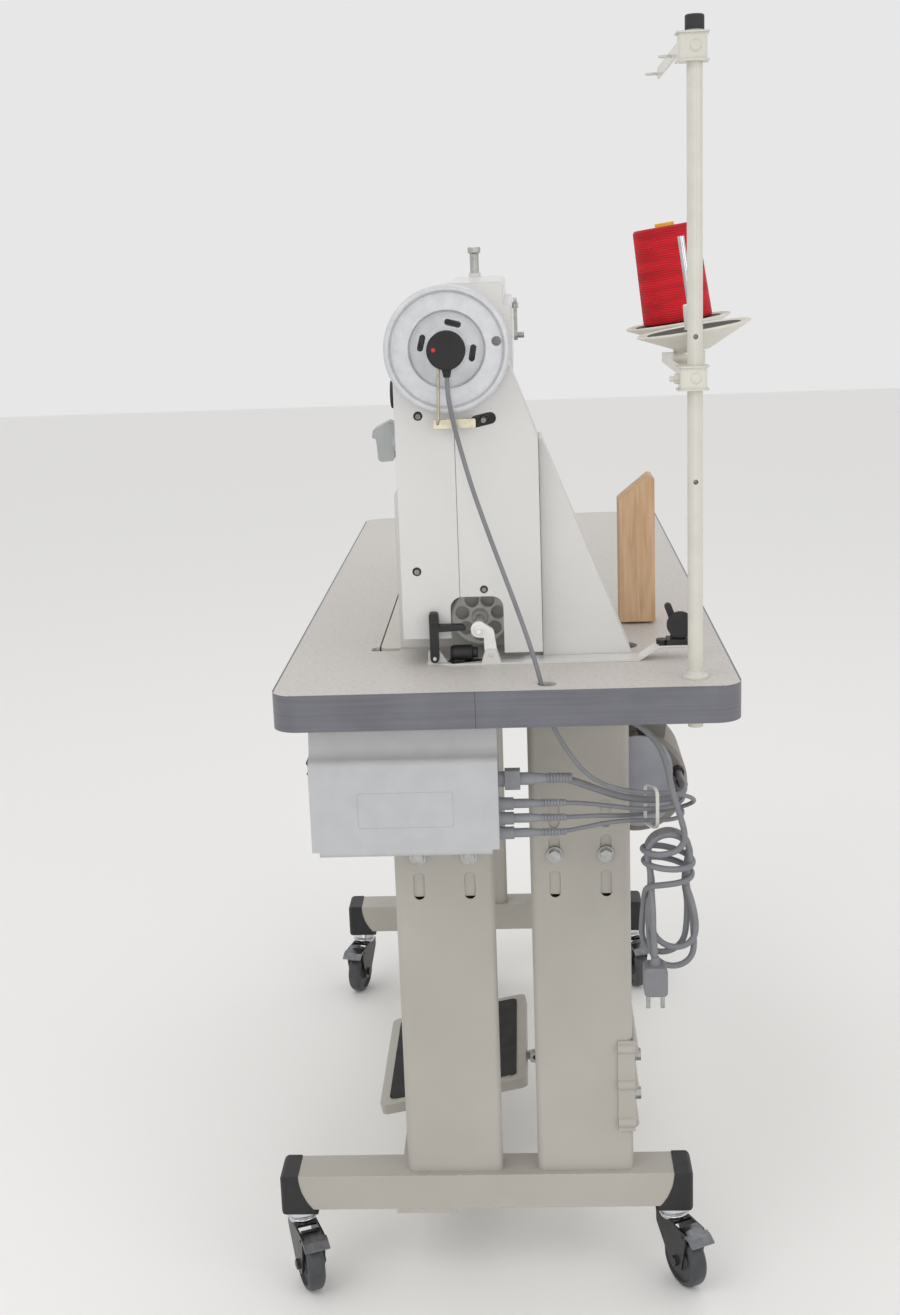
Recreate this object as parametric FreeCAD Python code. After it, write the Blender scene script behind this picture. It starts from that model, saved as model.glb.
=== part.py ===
import FreeCAD, Part
import math
import os

# Industrial post-bed sewing machine with its table, stand, motor and thread stand, in millimetres.
# +X is the operator's right, +Y the rear and +Z up. The origin is on the floor under the table's centre.

# Clearances
seat_gap = 0.2          # between pieces of one assembly that are put together by hand
running_gap = 0.35      # between pieces that turn or slide on each other

# Table
table_length = 1200.0
table_width = 500.0
table_thickness = 40.0
table_height = 800.0
table_corner = 28.0
edging_thickness = 2.0
ledge_depth = 12.0
ledge_width = 14.0
belt_slot_front = 38.0
belt_slot_rear = 152.0
belt_slot_width = 36.0
cable_hole_x = 573.5
cable_hole_y = 44.5
cable_hole_radius = 10.0

# Stand
frame_x = 435.0
beam_width = 50.0
beam_height = 45.0
beam_wall = 2.5
beam_bottom = 107.0
beam_front = -297.0
beam_rear = 210.0
cap_cover = 23.0
cap_arc = 68.0
cap_proud = 1.0
cap_drop = 6.0
column_width = 117.0
column_depth = 32.0
column_wall = 2.0
column_corner = 8.0
column_pitch = 160.0
column_setback = 9.0
column_gap = 15.0
slot_length = 34.0
slot_width = 13.0
slot_pitch = 43.0
slot_drop = 219.5
slot_rows = 3
slot_spread = 60.0
slider_wall = 2.5
slider_tail = 50.0
slider_plate = 3.0
slider_plate_overhang = 14.0
slider_plate_inner = 4.0
bolt_drop = 6.5
bolt_radius = 5.0
bolt_head_radius = 7.5
bolt_head_height = 6.0
washer_radius = 10.0
washer_thickness = 2.0
stretcher_bottom = 205.0
stretcher_height = 119.0
stretcher_sheet = 2.5
stretcher_rib = 7.0
stretcher_wrap = 18.0
pedal_bar_width = 73.0
pedal_bar_thickness = 6.0

# Casters
caster_inset = 22.0
caster_trail = 26.0
wheel_radius = 35.0
wheel_width = 22.0
fork_sheet = 2.5
race_radius = 20.0
stem_radius = 5.5
stem_length = 24.0
axle_radius = 4.0
brake_pivot_out = 14.0
brake_pivot_height = 74.0
caster_yaw = {"front_right": 23.0, "rear_right": 28.0, "front_left": -15.0, "rear_left": 20.0}

# Treadle
pedal_x = 102.0
pedal_y = -117.0
pedal_axis_height = 124.0
pedal_width = 265.0
pedal_front = 74.0
pedal_rear = 130.0
pedal_slope = 11.3
pedal_plate = 5.0
pedal_skirt = 14.0
pedal_border = 13.0
pedal_lift = 14.0
pedal_axle_radius = 5.0
pedal_ear_spread = 104.0
rod_radius = 4.0
rod_pin_radius = 3.0
rod_pin_slack = 0.75
rod_pin_travel = 7.0
rod_lug_x = 160.0
rod_lug_back = 149.0
rod_top_x = 241.0
rod_block = 10.0

# Head
bed_left = -110.0
bed_right = 392.0
bed_front = -147.5
bed_rear = 30.0
bed_gap = 2.0
bed_proud = 0.5
bed_wall = 8.0
bed_depth = 65.0
bed_corner = 10.0
post_height = 177.5
post_plate = 6.0
column_end = 390.0
column_start = 275.0
head_front = -110.0
head_rear = 16.0
head_foot_front = -124.0
head_foot_rear = 20.0
shoulder_drop = 103.0
arm_left = -62.0
arm_drop = 65.0
arm_rise = 66.0
arm_shelf_drop = 25.0
arm_shelf_rear = 7.0
arm_gullet = 40.0
casting_wall = 9.0
bearing_wall_x = 20.0
bearing_wall = 12.0
face_plate_thickness = 3.5
shaft_y = -53.0
shaft_height = 350.0
shaft_radius = 8.0
shaft_end = -10.0
needle_x = -30.0
needle_y = -56.0
needle_bar_radius = 4.0
needle_radius = 0.9
needle_stroke = 32.0
presser_y = -34.0
presser_bar_radius = 5.0
presser_screw_radius = 6.0
presser_screw_rise = 39.0
hook_x = -7.0
hook_radius = 17.0
hook_drop = 7.5
hook_height = 24.0
takeup_x = 11.0
takeup_y = -85.0
takeup_drop = 10.0
takeup_sheet = 3.0
tension_x = 62.0
tension_drop = 15.0
dial_x = 340.0
dial_drop = 58.0
dial_radius = 24.0
reverse_x = 345.0
reverse_drop = 114.0
stud_radius = 5.0
lifter_x = -40.0
lifter_drop = 15.0
lifter_length = 40.0

# Drive
belt_x = 404.0
pulley_radius = 38.0
pulley_groove = 30.0
pulley_width = 20.0
belt_width = 9.6
belt_height = 6.6
motor_y = 150.0
motor_drop = 136.0
motor_radius = 62.0
motor_left = 254.0
motor_right = 384.0
motor_pulley_radius = 34.0
motor_pulley_groove = 26.0
motor_shaft_radius = 7.0
cover_radius = 41.0
cover_sheet = 2.0
cover_right = 417.0
speed_axis_y = 140.0
speed_drop = 24.0
speed_length = 104.0

# Handwheel and sensor
wheel_face = 505.0
handwheel_radius = 67.5
handwheel_lip = 6.0
handwheel_depth = 25.0
handwheel_recess = 41.0
sensor_radius = 20.5
sensor_near = 507.0
sensor_far = 525.0
stay_radius = 1.6

# Belt guards
guard_face = 472.0
guard_sheet = 2.0
guard_front = -114.0
guard_rear = 42.0
guard_split = -49.0
guard_front_gap = 29.0
guard_rear_gap = 11.0
guard_knee_y = 15.0
guard_knee_drop = 28.0
guard_slope_drop = 100.0
guard_hub_hole = 45.0
window_front = -60.0
window_rear = -1.0
window_height = 76.0
window_corner = 13.0
skirt_face = 452.0
skirt_back = 388.0
skirt_tip = 143.0
skirt_drop = 102.0
skirt_top_rear = 46.0

# Bobbin winder
winder_pivot_y = -16.0
winder_pivot_rise = 12.0
winder_wheel_y = -29.0
winder_wheel_rise = 40.0
winder_wheel_radius = 33.0
winder_wheel_width = 12.0
winder_hole_radius = 8.0
winder_hole_circle = 21.0
winder_holes = 7
spindle_radius = 3.0
winder_arm_near = 480.0
winder_arm_sheet = 6.0
strip_thickness = 2.5
strip_near = 484.0
strip_far = 453.0

# Thread stand
pole_x = 560.0
pole_y = 203.0
pole_radius = 8.0
pole_height = 653.0
pole_cap_height = 14.0
seat_radius = 61.0
seat_depth = 24.0
seat_rise = 340.0
seat_tilt = 8.0
near_seat_x = 490.0
far_seat_x = 312.0
seat_y = 212.0
spool_arm_drop = 22.0
cone_height = 108.0
cone_radius = 40.0
cone_taper = 3.0
cone_core = 11.0
pin_radius = 3.5

# Control box
box_face = 580.0
box_back = 470.0
box_front = -216.0
box_rear = -11.0
box_gap = 3.0
box_height = 147.0
box_ledge_drop = 39.0
connector_x = 545.0

# Cords
signal_diameter = 5.0
motor_cable_diameter = 8.0
mains_diameter = 7.0

Vec = FreeCAD.Vector
along_x = Vec(1, 0, 0)
along_y = Vec(0, 1, 0)
along_z = Vec(0, 0, 1)

table_bottom = table_height - table_thickness
beam_top = beam_bottom + beam_height
cap_bottom = beam_bottom - cap_drop
column_outer = frame_x + beam_width / 2 - column_setback
column_inner = column_outer - column_depth
bed_top = table_height + bed_proud
column_top = table_bottom - column_gap
slot_lowest = column_top - slot_drop
bolt_height = slot_lowest + slot_pitch - bolt_drop
slider_bottom = bolt_height - slider_tail
post_top = bed_top + post_height
shaft_z = table_height + shaft_height
arm_top = shaft_z + arm_rise
arm_bottom = shaft_z - arm_drop
arm_shelf = arm_top - arm_shelf_drop
head_shoulder = arm_bottom - shoulder_drop
presser_screw_top = arm_top + presser_screw_rise
hook_top = post_top - hook_drop
takeup_z = shaft_z - takeup_drop
tension_z = shaft_z - tension_drop
dial_z = shaft_z - dial_drop
reverse_z = shaft_z - reverse_drop
lifter_z = arm_shelf - lifter_drop
motor_z = table_bottom - motor_drop
speed_axis_z = motor_z - speed_drop
guard_front_bottom = table_height + guard_front_gap
guard_rear_bottom = table_height + guard_rear_gap
guard_knee_z = shaft_z - guard_knee_drop
guard_slope_bottom = shaft_z - guard_slope_drop
window_top = table_height + window_height
skirt_top = shaft_z - skirt_drop
winder_pivot_z = table_height + winder_pivot_rise
winder_wheel_z = table_height + winder_wheel_rise
pole_top = table_height + pole_height
seat_height = table_height + seat_rise
spool_arm_z = seat_height - spool_arm_drop
box_top = table_bottom - box_gap
box_bottom = box_top - box_height
box_ledge = box_top - box_ledge_drop
shaft_axis = Vec(0, shaft_y, shaft_z)
motor_axis = Vec(0, motor_y, motor_z)


def on_plane(plane, at):
    places = {
        "YZ": lambda u, v: Vec(at, u, v),
        "XZ": lambda u, v: Vec(u, at, v),
        "XY": lambda u, v: Vec(u, v, at),
    }
    return places[plane]


# A closed outline whose corners are (u, v) or (u, v, radius).
def outline(corners, place):
    starts = []
    ends = []
    middles = []
    count = len(corners)
    for index, corner in enumerate(corners):
        here = Vec(corner[0], corner[1], 0)
        radius = corner[2] if len(corner) > 2 else 0.0
        back = Vec(corners[index - 1][0], corners[index - 1][1], 0) - here
        ahead = Vec(corners[(index + 1) % count][0], corners[(index + 1) % count][1], 0) - here
        back.normalize()
        ahead.normalize()
        if radius == 0.0:
            starts.append(here)
            ends.append(here)
            middles.append(None)
            continue
        half = back.getAngle(ahead) / 2
        bisector = back + ahead
        bisector.normalize()
        reach = radius / math.tan(half)
        starts.append(here + back * reach)
        ends.append(here + ahead * reach)
        middles.append(here + bisector * (radius / math.sin(half) - radius))
    edges = []
    for index in range(count):
        if middles[index] is not None:
            arc = [place(p.x, p.y) for p in (starts[index], middles[index], ends[index])]
            edges.append(Part.Arc(*arc).toShape())
        here = ends[index]
        there = starts[(index + 1) % count]
        if here.distanceToPoint(there) > 1e-6:
            edges.append(Part.LineSegment(place(here.x, here.y), place(there.x, there.y)).toShape())
    return Part.Wire(edges)


def prism(corners, plane, start, end):
    normal = {"YZ": along_x, "XZ": along_y, "XY": along_z}[plane]
    return Part.Face(outline(corners, on_plane(plane, start))).extrude(normal * (end - start))


def rectangle(u0, u1, v0, v1, radius=0.0):
    if radius:
        return [(u0, v0, radius), (u1, v0, radius), (u1, v1, radius), (u0, v1, radius)]
    return [(u0, v0), (u1, v0), (u1, v1), (u0, v1)]


def block(x0, x1, y0, y1, z0, z1):
    return Part.makeBox(x1 - x0, y1 - y0, z1 - z0, Vec(x0, y0, z0))


def rod(radius, start, end):
    return Part.makeCylinder(radius, start.distanceToPoint(end), start, end - start)


def ring(outer, inner, start, end):
    return rod(outer, start, end).cut(rod(inner, start, end))


# A turned solid: the profile's corners are (radius, height), the height running along the axis from base.
def turned(profile, base, axis):
    solid = Part.Face(outline(profile, on_plane("XZ", 0.0))).revolve(Vec(0, 0, 0), along_z, 360)
    solid.Placement = FreeCAD.Placement(base, FreeCAD.Rotation(along_z, axis))
    return solid


def hexagon(across_corners, start, end):
    points = []
    for step in range(7):
        turn = math.radians(60 * step)
        points.append(Vec(across_corners * math.cos(turn), across_corners * math.sin(turn), 0))
    length = start.distanceToPoint(end)
    solid = Part.Face(Part.makePolygon(points)).extrude(Vec(0, 0, length))
    solid.Placement = FreeCAD.Placement(start, FreeCAD.Rotation(along_z, end - start))
    return solid


def joined(first, *others):
    return first.fuse(list(others)).removeSplitter()


def mirrored_x(shape):
    return shape.mirror(Vec(0, 0, 0), along_x)


# A flat lever from one eye to another, in the given plane.
def link_bar(plane, eye_a, eye_b, radius_a, radius_b, start, end):
    normal = {"YZ": along_x, "XZ": along_y}[plane]
    place = on_plane(plane, start)
    a = Vec(eye_a[0], eye_a[1], 0)
    b = Vec(eye_b[0], eye_b[1], 0)
    span = b - a
    lean = math.acos((radius_a - radius_b) / span.Length)
    heading = math.atan2(span.y, span.x)
    corners = []
    for centre, radius, turn in ((a, radius_a, lean), (b, radius_b, lean), (b, radius_b, -lean),
                                 (a, radius_a, -lean)):
        angle = heading + turn
        corners.append((centre.x + radius * math.cos(angle), centre.y + radius * math.sin(angle)))
    bar = prism(corners, plane, start, end)
    length = normal * (end - start)
    rounds = []
    for centre, radius in ((a, radius_a), (b, radius_b)):
        rounds.append(rod(radius, place(centre.x, centre.y), place(centre.x, centre.y) + length))
    return joined(bar, *rounds)


# A cord's tube: straight runs joined by arcs as large as the runs allow.
def cord_tube(name, points, diameter):
    route = [Vec(x, y, table_bottom + rise) for x, y, rise in points]
    edges = []
    radii = []
    here = route[0]
    for index in range(1, len(route) - 1):
        corner = route[index]
        back = route[index - 1] - corner
        ahead = route[index + 1] - corner
        shorter = min(back.Length, ahead.Length)
        back.normalize()
        ahead.normalize()
        half_turn = (math.pi - back.getAngle(ahead)) / 2
        radius = 0.45 * shorter / math.tan(half_turn)
        radii.append(round(radius))
        reach = 0.45 * shorter
        bisector = back + ahead
        bisector.normalize()
        middle = corner + bisector * (radius / math.cos(half_turn) - radius)
        start = corner + back * reach
        end = corner + ahead * reach
        edges.append(Part.LineSegment(here, start).toShape())
        edges.append(Part.Arc(start, middle, end).toShape())
        here = end
    edges.append(Part.LineSegment(here, route[-1]).toShape())
    path = Part.Wire(edges)
    circle = Part.Wire(Part.makeCircle(diameter / 2, route[0], route[1] - route[0]))
    tube = path.makePipeShell([circle], True, False)
    section = math.pi * diameter ** 2 / 4
    print(name, "length", round(path.Length), "radii", radii, "volume ratio",
          round(tube.Volume / (section * path.Length), 3))
    return tube


def foot_beams():
    solids = []
    arc_y = beam_front + cap_cover + cap_arc
    low_y = arc_y - math.sqrt(cap_arc ** 2 - beam_height ** 2)
    lean = math.asin(beam_height / cap_arc) / 2
    mid_y = arc_y - cap_arc * math.cos(lean)
    mid_z = beam_top - cap_arc * math.sin(lean)
    middle = (beam_front + beam_rear) / 2
    place = on_plane("YZ", frame_x - beam_width / 2)
    flip = lambda y: 2 * middle - y
    front_top = place(beam_front + cap_cover, beam_top)
    rear_top = place(flip(beam_front + cap_cover), beam_top)
    front_low = place(low_y, beam_bottom)
    rear_low = place(flip(low_y), beam_bottom)
    edges = [
        Part.LineSegment(front_top, rear_top).toShape(),
        Part.Arc(rear_top, place(flip(mid_y), mid_z), rear_low).toShape(),
        Part.LineSegment(rear_low, front_low).toShape(),
        Part.Arc(front_low, place(mid_y, mid_z), front_top).toShape(),
    ]
    beam = Part.Face(Part.Wire(edges)).extrude(along_x * beam_width)
    inner = frame_x - beam_width / 2 + beam_wall
    hollow = block(inner, inner + beam_width - 2 * beam_wall, beam_front, beam_rear,
                   beam_bottom + beam_wall, beam_top - beam_wall)
    beam = beam.cut(hollow)
    solids.append(beam)
    solids.append(mirrored_x(beam))
    return solids


def beam_end_caps():
    half = beam_width / 2 + cap_proud
    deep = cap_cover + cap_arc - math.sqrt(cap_arc ** 2 - (beam_top - cap_bottom) ** 2)
    side = [(beam_front, cap_bottom, 4), (beam_front + deep, cap_bottom),
            (beam_front + deep, beam_top + cap_proud),
            (beam_front, beam_top + cap_proud, 6)]
    cap = prism(side, "YZ", frame_x - half, frame_x + half)
    plan = prism(rectangle(frame_x - half, frame_x + half, beam_front, beam_front + 3 * deep, 7), "XY",
                 cap_bottom, beam_top + cap_proud)
    cap = cap.common(plan)
    arc_y = beam_front + cap_cover + cap_arc
    beam_end = rod(cap_arc + seat_gap, Vec(frame_x - 2 * half, arc_y, beam_top),
                   Vec(frame_x + 2 * half, arc_y, beam_top))
    over = block(frame_x - 2 * half, frame_x + 2 * half, beam_front + cap_cover + seat_gap, arc_y, beam_top,
                 beam_top + 2 * cap_proud)
    caster_y = beam_front + caster_inset
    socket = rod(stem_radius + seat_gap, Vec(frame_x, caster_y, cap_bottom - 1),
                 Vec(frame_x, caster_y, cap_bottom + stem_length))
    cap = cap.cut([beam_end, over, socket])
    rear_cap = cap.mirror(Vec(0, (beam_front + beam_rear) / 2, 0), along_y)
    return [cap, rear_cap, mirrored_x(cap), mirrored_x(rear_cap)]


def slot_heights():
    return [slot_lowest + slot_pitch * row for row in range(slot_rows)]


def leg_columns():
    solids = []
    for side in (-1, 1):
        centre = side * column_pitch / 2
        y0 = centre - column_width / 2
        y1 = centre + column_width / 2
        outer = prism(rectangle(column_inner, column_outer, y0, y1, column_corner), "XY", beam_top,
                      column_top)
        inside = rectangle(column_inner + column_wall, column_outer - column_wall, y0 + column_wall,
                           y1 - column_wall,
                           column_corner - column_wall)
        column = outer.cut(prism(inside, "XY", beam_top, column_top))
        slots = []
        for z in slot_heights():
            for y in (centre - slot_spread / 2, centre + slot_spread / 2):
                shape = rectangle(y - slot_width / 2, y + slot_width / 2, z - slot_length / 2,
                                  z + slot_length / 2,
                                  slot_width / 2 - 0.01)
                slots.append(prism(shape, "YZ", column_outer - 2 * column_wall, column_outer + 1))
        column = column.cut(slots)
        solids.append(column)
        solids.append(mirrored_x(column))
    return solids


def leg_sliders():
    parts = []
    inset = column_wall + seat_gap
    for side in (-1, 1):
        centre = side * column_pitch / 2
        y0 = centre - column_width / 2 + inset
        y1 = centre + column_width / 2 - inset
        corner = column_corner - inset
        x0 = column_inner + inset
        x1 = column_outer - inset
        tube = prism(rectangle(x0, x1, y0, y1, corner), "XY", slider_bottom, table_bottom - slider_plate)
        hollow = rectangle(x0 + slider_wall, x1 - slider_wall, y0 + slider_wall, y1 - slider_wall,
                           corner - slider_wall)
        tube = tube.cut(prism(hollow, "XY", slider_bottom, table_bottom - slider_plate))
        for y in (centre - slot_spread / 2, centre + slot_spread / 2):
            hole = rod(bolt_radius + seat_gap, Vec(x1 - 2 * slider_wall, y, bolt_height),
                       Vec(x1 + 1, y, bolt_height))
            tube = tube.cut(hole)
        parts.append(tube)
    reach = (column_pitch + column_width) / 2 + slider_plate_overhang
    plate = prism(rectangle(column_inner - slider_plate_inner, column_outer + slider_plate_overhang, -reach,
                            reach, 6),
                  "XY", table_bottom - slider_plate, table_bottom)
    slider = joined(plate, *parts)
    return [slider, mirrored_x(slider)]


def leg_bolts():
    solids = []
    wall_inside = column_outer - column_wall - seat_gap - slider_wall
    for side in (-1, 1):
        for spread in (-1, 1):
            y = side * column_pitch / 2 + spread * slot_spread / 2
            at = lambda x: Vec(x, y, bolt_height)
            washer_face = column_outer + washer_thickness
            bolt = joined(
                rod(bolt_radius, at(wall_inside - bolt_head_height), at(column_outer)),
                rod(washer_radius, at(column_outer), at(washer_face)),
                hexagon(bolt_head_radius, at(washer_face), at(washer_face + bolt_head_height)),
                hexagon(bolt_head_radius, at(wall_inside - bolt_head_height), at(wall_inside)))
            solids.append(bolt)
            solids.append(mirrored_x(bolt))
    panel = (column_pitch + column_width) / 2 + stretcher_sheet
    for share in (0.35, 0.78):
        z = stretcher_bottom + share * stretcher_height
        at = lambda y: Vec(frame_x, y, z)
        bolt = joined(
            rod(washer_radius * 0.8, at(panel), at(panel + washer_thickness)),
            hexagon(bolt_head_radius, at(panel + washer_thickness),
                    at(panel + washer_thickness + bolt_head_height)))
        solids.append(bolt)
        solids.append(mirrored_x(bolt))
    return solids


def cross_members():
    face = (column_pitch + column_width) / 2
    back = face + stretcher_sheet
    top = stretcher_bottom + stretcher_height
    end = column_outer + stretcher_sheet
    panel = block(-end, end, face, back, stretcher_bottom, top)
    pieces = []
    for side in (-1, 1):
        inner, outer = sorted((side * column_outer, side * end))
        pieces.append(block(inner, outer, face - stretcher_wrap, back, stretcher_bottom, top))
    for share in (0.1, 0.52, 0.92):
        z = stretcher_bottom + share * stretcher_height
        rib = rod(stretcher_rib, Vec(-end, face, z), Vec(end, face, z))
        pieces.append(rib.common(block(-end, end, face, face + 2 * stretcher_rib, stretcher_bottom - 20,
                                       top + 20)))
        for side in (-1, 1):
            edge = rod(stretcher_rib, Vec(side * column_outer, face - stretcher_wrap, z),
                       Vec(side * column_outer, back, z))
            inner, outer = sorted((side * column_outer, side * (column_outer + 2 * stretcher_rib)))
            pieces.append(edge.common(block(inner, outer, 0, 2 * face, stretcher_bottom - 20, top + 20)))
    stretcher = joined(panel, *pieces)
    reach = frame_x + beam_width / 2
    bar = block(-reach, reach, pedal_y - pedal_bar_width / 2, pedal_y + pedal_bar_width / 2,
                beam_bottom - pedal_bar_thickness, beam_bottom)
    ears = []
    for side in (-1, 1):
        x = pedal_x + side * pedal_ear_spread / 2
        ear = [(pedal_y - 18, beam_bottom), (pedal_y + 18, beam_bottom),
               (pedal_y + 7.5, pedal_axis_height + 7, 6.4),
               (pedal_y - 7.5, pedal_axis_height + 7, 6.4)]
        ears.append(prism(ear, "YZ", x - 3, x + 3))
    x0 = pedal_x - pedal_ear_spread / 2 - 6
    x1 = pedal_x + pedal_ear_spread / 2 + 6
    ears.append(rod(pedal_axle_radius, Vec(x0, pedal_y, pedal_axis_height),
                    Vec(x1, pedal_y, pedal_axis_height)))
    return [stretcher, joined(bar, *ears)]


def tilted_pedal(shape):
    shape.rotate(Vec(0, pedal_y, pedal_axis_height), along_x, pedal_slope)
    return shape


def pedal():
    x0 = pedal_x - pedal_width / 2
    x1 = pedal_x + pedal_width / 2
    y0 = pedal_y - pedal_front
    y1 = pedal_y + pedal_rear
    top = pedal_axis_height + pedal_lift
    low = top - pedal_skirt
    tray = prism(rectangle(x0, x1, y0, y1, 10), "XY", low, top)
    wall = pedal_plate
    under = prism(rectangle(x0 + wall, x1 - wall, y0 + wall, y1 - wall, 6), "XY", low, top - pedal_plate)
    mat_pocket = prism(rectangle(x0 + pedal_border, x1 - pedal_border, y0 + pedal_border, y1 - pedal_border,
                                 8), "XY",
                       top - 2, top)
    tray = tray.cut([under, mat_pocket])
    hubs = []
    for side in (-1, 1):
        near = pedal_x + side * (pedal_ear_spread / 2 - 4)
        far = pedal_x + side * (pedal_ear_spread / 2 - 20)
        hub = rod(9, Vec(near, pedal_y, pedal_axis_height), Vec(far, pedal_y, pedal_axis_height))
        low_x, high_x = sorted((near, far))
        web = block(low_x, high_x, pedal_y - 6, pedal_y + 6, pedal_axis_height, top - pedal_plate)
        bore = rod(pedal_axle_radius + running_gap, Vec(low_x - 1, pedal_y, pedal_axis_height),
                   Vec(high_x + 1, pedal_y, pedal_axis_height))
        hubs.append(joined(hub, web).cut(bore))
    lug_y = pedal_y + rod_lug_back
    lug_z = pedal_axis_height + 4
    lug_far = rod_lug_x - rod_block / 2 - running_gap
    lug = block(lug_far - 5, lug_far, y1 - wall, lug_y + 5, lug_z - 5, top - 3)
    pin = rod(rod_pin_radius, Vec(lug_far - 1, lug_y, lug_z),
              Vec(rod_lug_x + rod_block / 2 + 3, lug_y, lug_z))
    frame = joined(tray, lug, pin, *hubs)
    mat = prism(rectangle(x0 + pedal_border, x1 - pedal_border, y0 + pedal_border, y1 - pedal_border, 8),
                "XY", top - 2, top + 1.5)
    return [tilted_pedal(frame), tilted_pedal(mat)]


def rod_pin():
    turn = math.radians(pedal_slope)
    across = rod_lug_back
    up = 4.0
    y = pedal_y + across * math.cos(turn) - up * math.sin(turn)
    z = pedal_axis_height + across * math.sin(turn) + up * math.cos(turn)
    return y, z


def rod_end(x, y, z):
    half = rod_block / 2
    grip = rod_pin_radius + rod_pin_slack
    reach = rod_pin_travel + grip
    body = prism(rectangle(y - reach - 4, y + reach + 4, z - grip - 4, z + grip + 4, 4), "YZ", x - half,
                 x + half)
    slot = prism(rectangle(y - reach, y + reach, z - grip, z + grip, grip - 0.01), "YZ", x - half - 1,
                 x + half + 1)
    return body.cut(slot)


def treadle_rod():
    low_y, low_z = rod_pin()
    high_y = speed_axis_y - speed_length
    low = Vec(rod_lug_x, low_y, low_z)
    high = Vec(rod_top_x, high_y, speed_axis_z)
    run = high - low
    run.normalize()
    bar = rod(rod_radius, low + run * 7, high - run * 7)
    return [joined(bar, rod_end(low.x, low.y, low.z), rod_end(high.x, high.y, high.z))]


def speed_lever():
    near = rod_top_x + rod_block / 2 + running_gap
    far = near + 5
    tip_y = speed_axis_y - speed_length
    lever = link_bar("YZ", (speed_axis_y, speed_axis_z), (tip_y, speed_axis_z), 12, 8, near, far)
    bore = rod(stud_radius + running_gap, Vec(near - 1, speed_axis_y, speed_axis_z),
               Vec(far + 1, speed_axis_y, speed_axis_z))
    pin = rod(rod_pin_radius, Vec(rod_top_x - rod_block / 2 - 3, tip_y, speed_axis_z),
              Vec(near, tip_y, speed_axis_z))
    return [joined(lever.cut(bore), pin)]


def caster_places():
    front = beam_front + caster_inset
    rear = beam_rear - caster_inset
    return {
        "front_right": (frame_x, front),
        "rear_right": (frame_x, rear),
        "front_left": (-frame_x, front),
        "rear_left": (-frame_x, rear),
    }


def set_caster(shape, name):
    x, y = caster_places()[name]
    shape.rotate(Vec(0, 0, 0), along_z, caster_yaw[name])
    shape.translate(Vec(x, y, 0))
    return shape


def caster_fork():
    lower = wheel_radius * 2 + 12
    race = [(0, cap_bottom + stem_length - 2), (0, lower), (race_radius - 3, lower),
            (race_radius - 1, lower + 5, 2),
            (race_radius - 4, lower + 7), (race_radius, lower + 10, 2), (race_radius - 2, cap_bottom - 1, 2),
            (stem_radius, cap_bottom - 1), (stem_radius, cap_bottom + stem_length - 2)]
    top = turned(race, Vec(0, 0, 0), along_z)
    inner = wheel_width / 2 + 1.5
    outer = inner + fork_sheet
    tail = caster_trail + brake_pivot_out
    side = [(-race_radius + 3, lower), (-race_radius + 3, lower - 14, 8),
            (caster_trail - 13, wheel_radius - 6, 4),
            (caster_trail - 2, wheel_radius - 13, 8), (caster_trail + 12, wheel_radius - 8, 8),
            (tail + 7, brake_pivot_height - 8, 4), (tail + 7, brake_pivot_height + 7, 5),
            (race_radius - 4, lower)]
    cheeks = [prism(side, "XZ", inner, outer), prism(side, "XZ", -outer, -inner)]
    bridge = prism(rectangle(-race_radius + 3, race_radius - 3, -outer, outer, 3), "XY", lower - 4, lower)
    axle = rod(axle_radius, Vec(caster_trail, -outer - 4, wheel_radius),
               Vec(caster_trail, outer + 4, wheel_radius))
    nuts = []
    for side_sign in (-1, 1):
        start = Vec(caster_trail, side_sign * outer, wheel_radius)
        nuts.append(hexagon(6.5, start, start + along_y * (3.5 * side_sign)))
    pivot = rod(2, Vec(tail, -outer - 1, brake_pivot_height), Vec(tail, outer + 1, brake_pivot_height))
    return joined(top, bridge, axle, pivot, *cheeks, *nuts)


def caster_wheel():
    half = wheel_width / 2
    bore = axle_radius + running_gap
    profile = [(bore, -half), (12, -half), (14, -half + 4), (wheel_radius - 8, -half + 4),
               (wheel_radius - 7, -half),
               (wheel_radius, -half, 7), (wheel_radius, half, 7), (wheel_radius - 7, half),
               (wheel_radius - 8, half - 4),
               (14, half - 4), (12, half), (bore, half)]
    return turned(profile, Vec(caster_trail, 0, wheel_radius), along_y)


def caster_brake():
    tail = caster_trail + brake_pivot_out
    half = wheel_width / 2 + 0.9
    hub_z = brake_pivot_height
    shape = [(tail - 8, hub_z + 9), (tail - 8, hub_z + 6.5), (tail + 16, hub_z + 3), (tail + 25, hub_z - 3),
             (tail + 26, hub_z - 1),
             (tail + 17, hub_z + 5.5), (tail + 2, hub_z + 9)]
    tab = prism(shape, "XZ", -half - 4, half + 4)
    tab = tab.cut([block(tail - 10, tail + 9, half, half + 6, hub_z - 9, hub_z + 12),
                   block(tail - 10, tail + 9, -half - 6, -half, hub_z - 9, hub_z + 12)])
    pad = prism([(tail + 5, hub_z + 5), (tail + 5, hub_z - 7, 2), (tail + 17, hub_z - 9, 2),
                 (tail + 17, hub_z + 4)], "XZ", -half + 1, half - 1)
    hub = rod(3.6, Vec(tail, -half, hub_z), Vec(tail, half, hub_z))
    neck = block(tail - 3.6, tail + 6, -half, half, hub_z, hub_z + 7.2)
    lever = joined(tab, pad, hub, neck)
    return lever.cut(rod(2 + running_gap, Vec(tail, -half - 1, hub_z), Vec(tail, half + 1, hub_z)))


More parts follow.
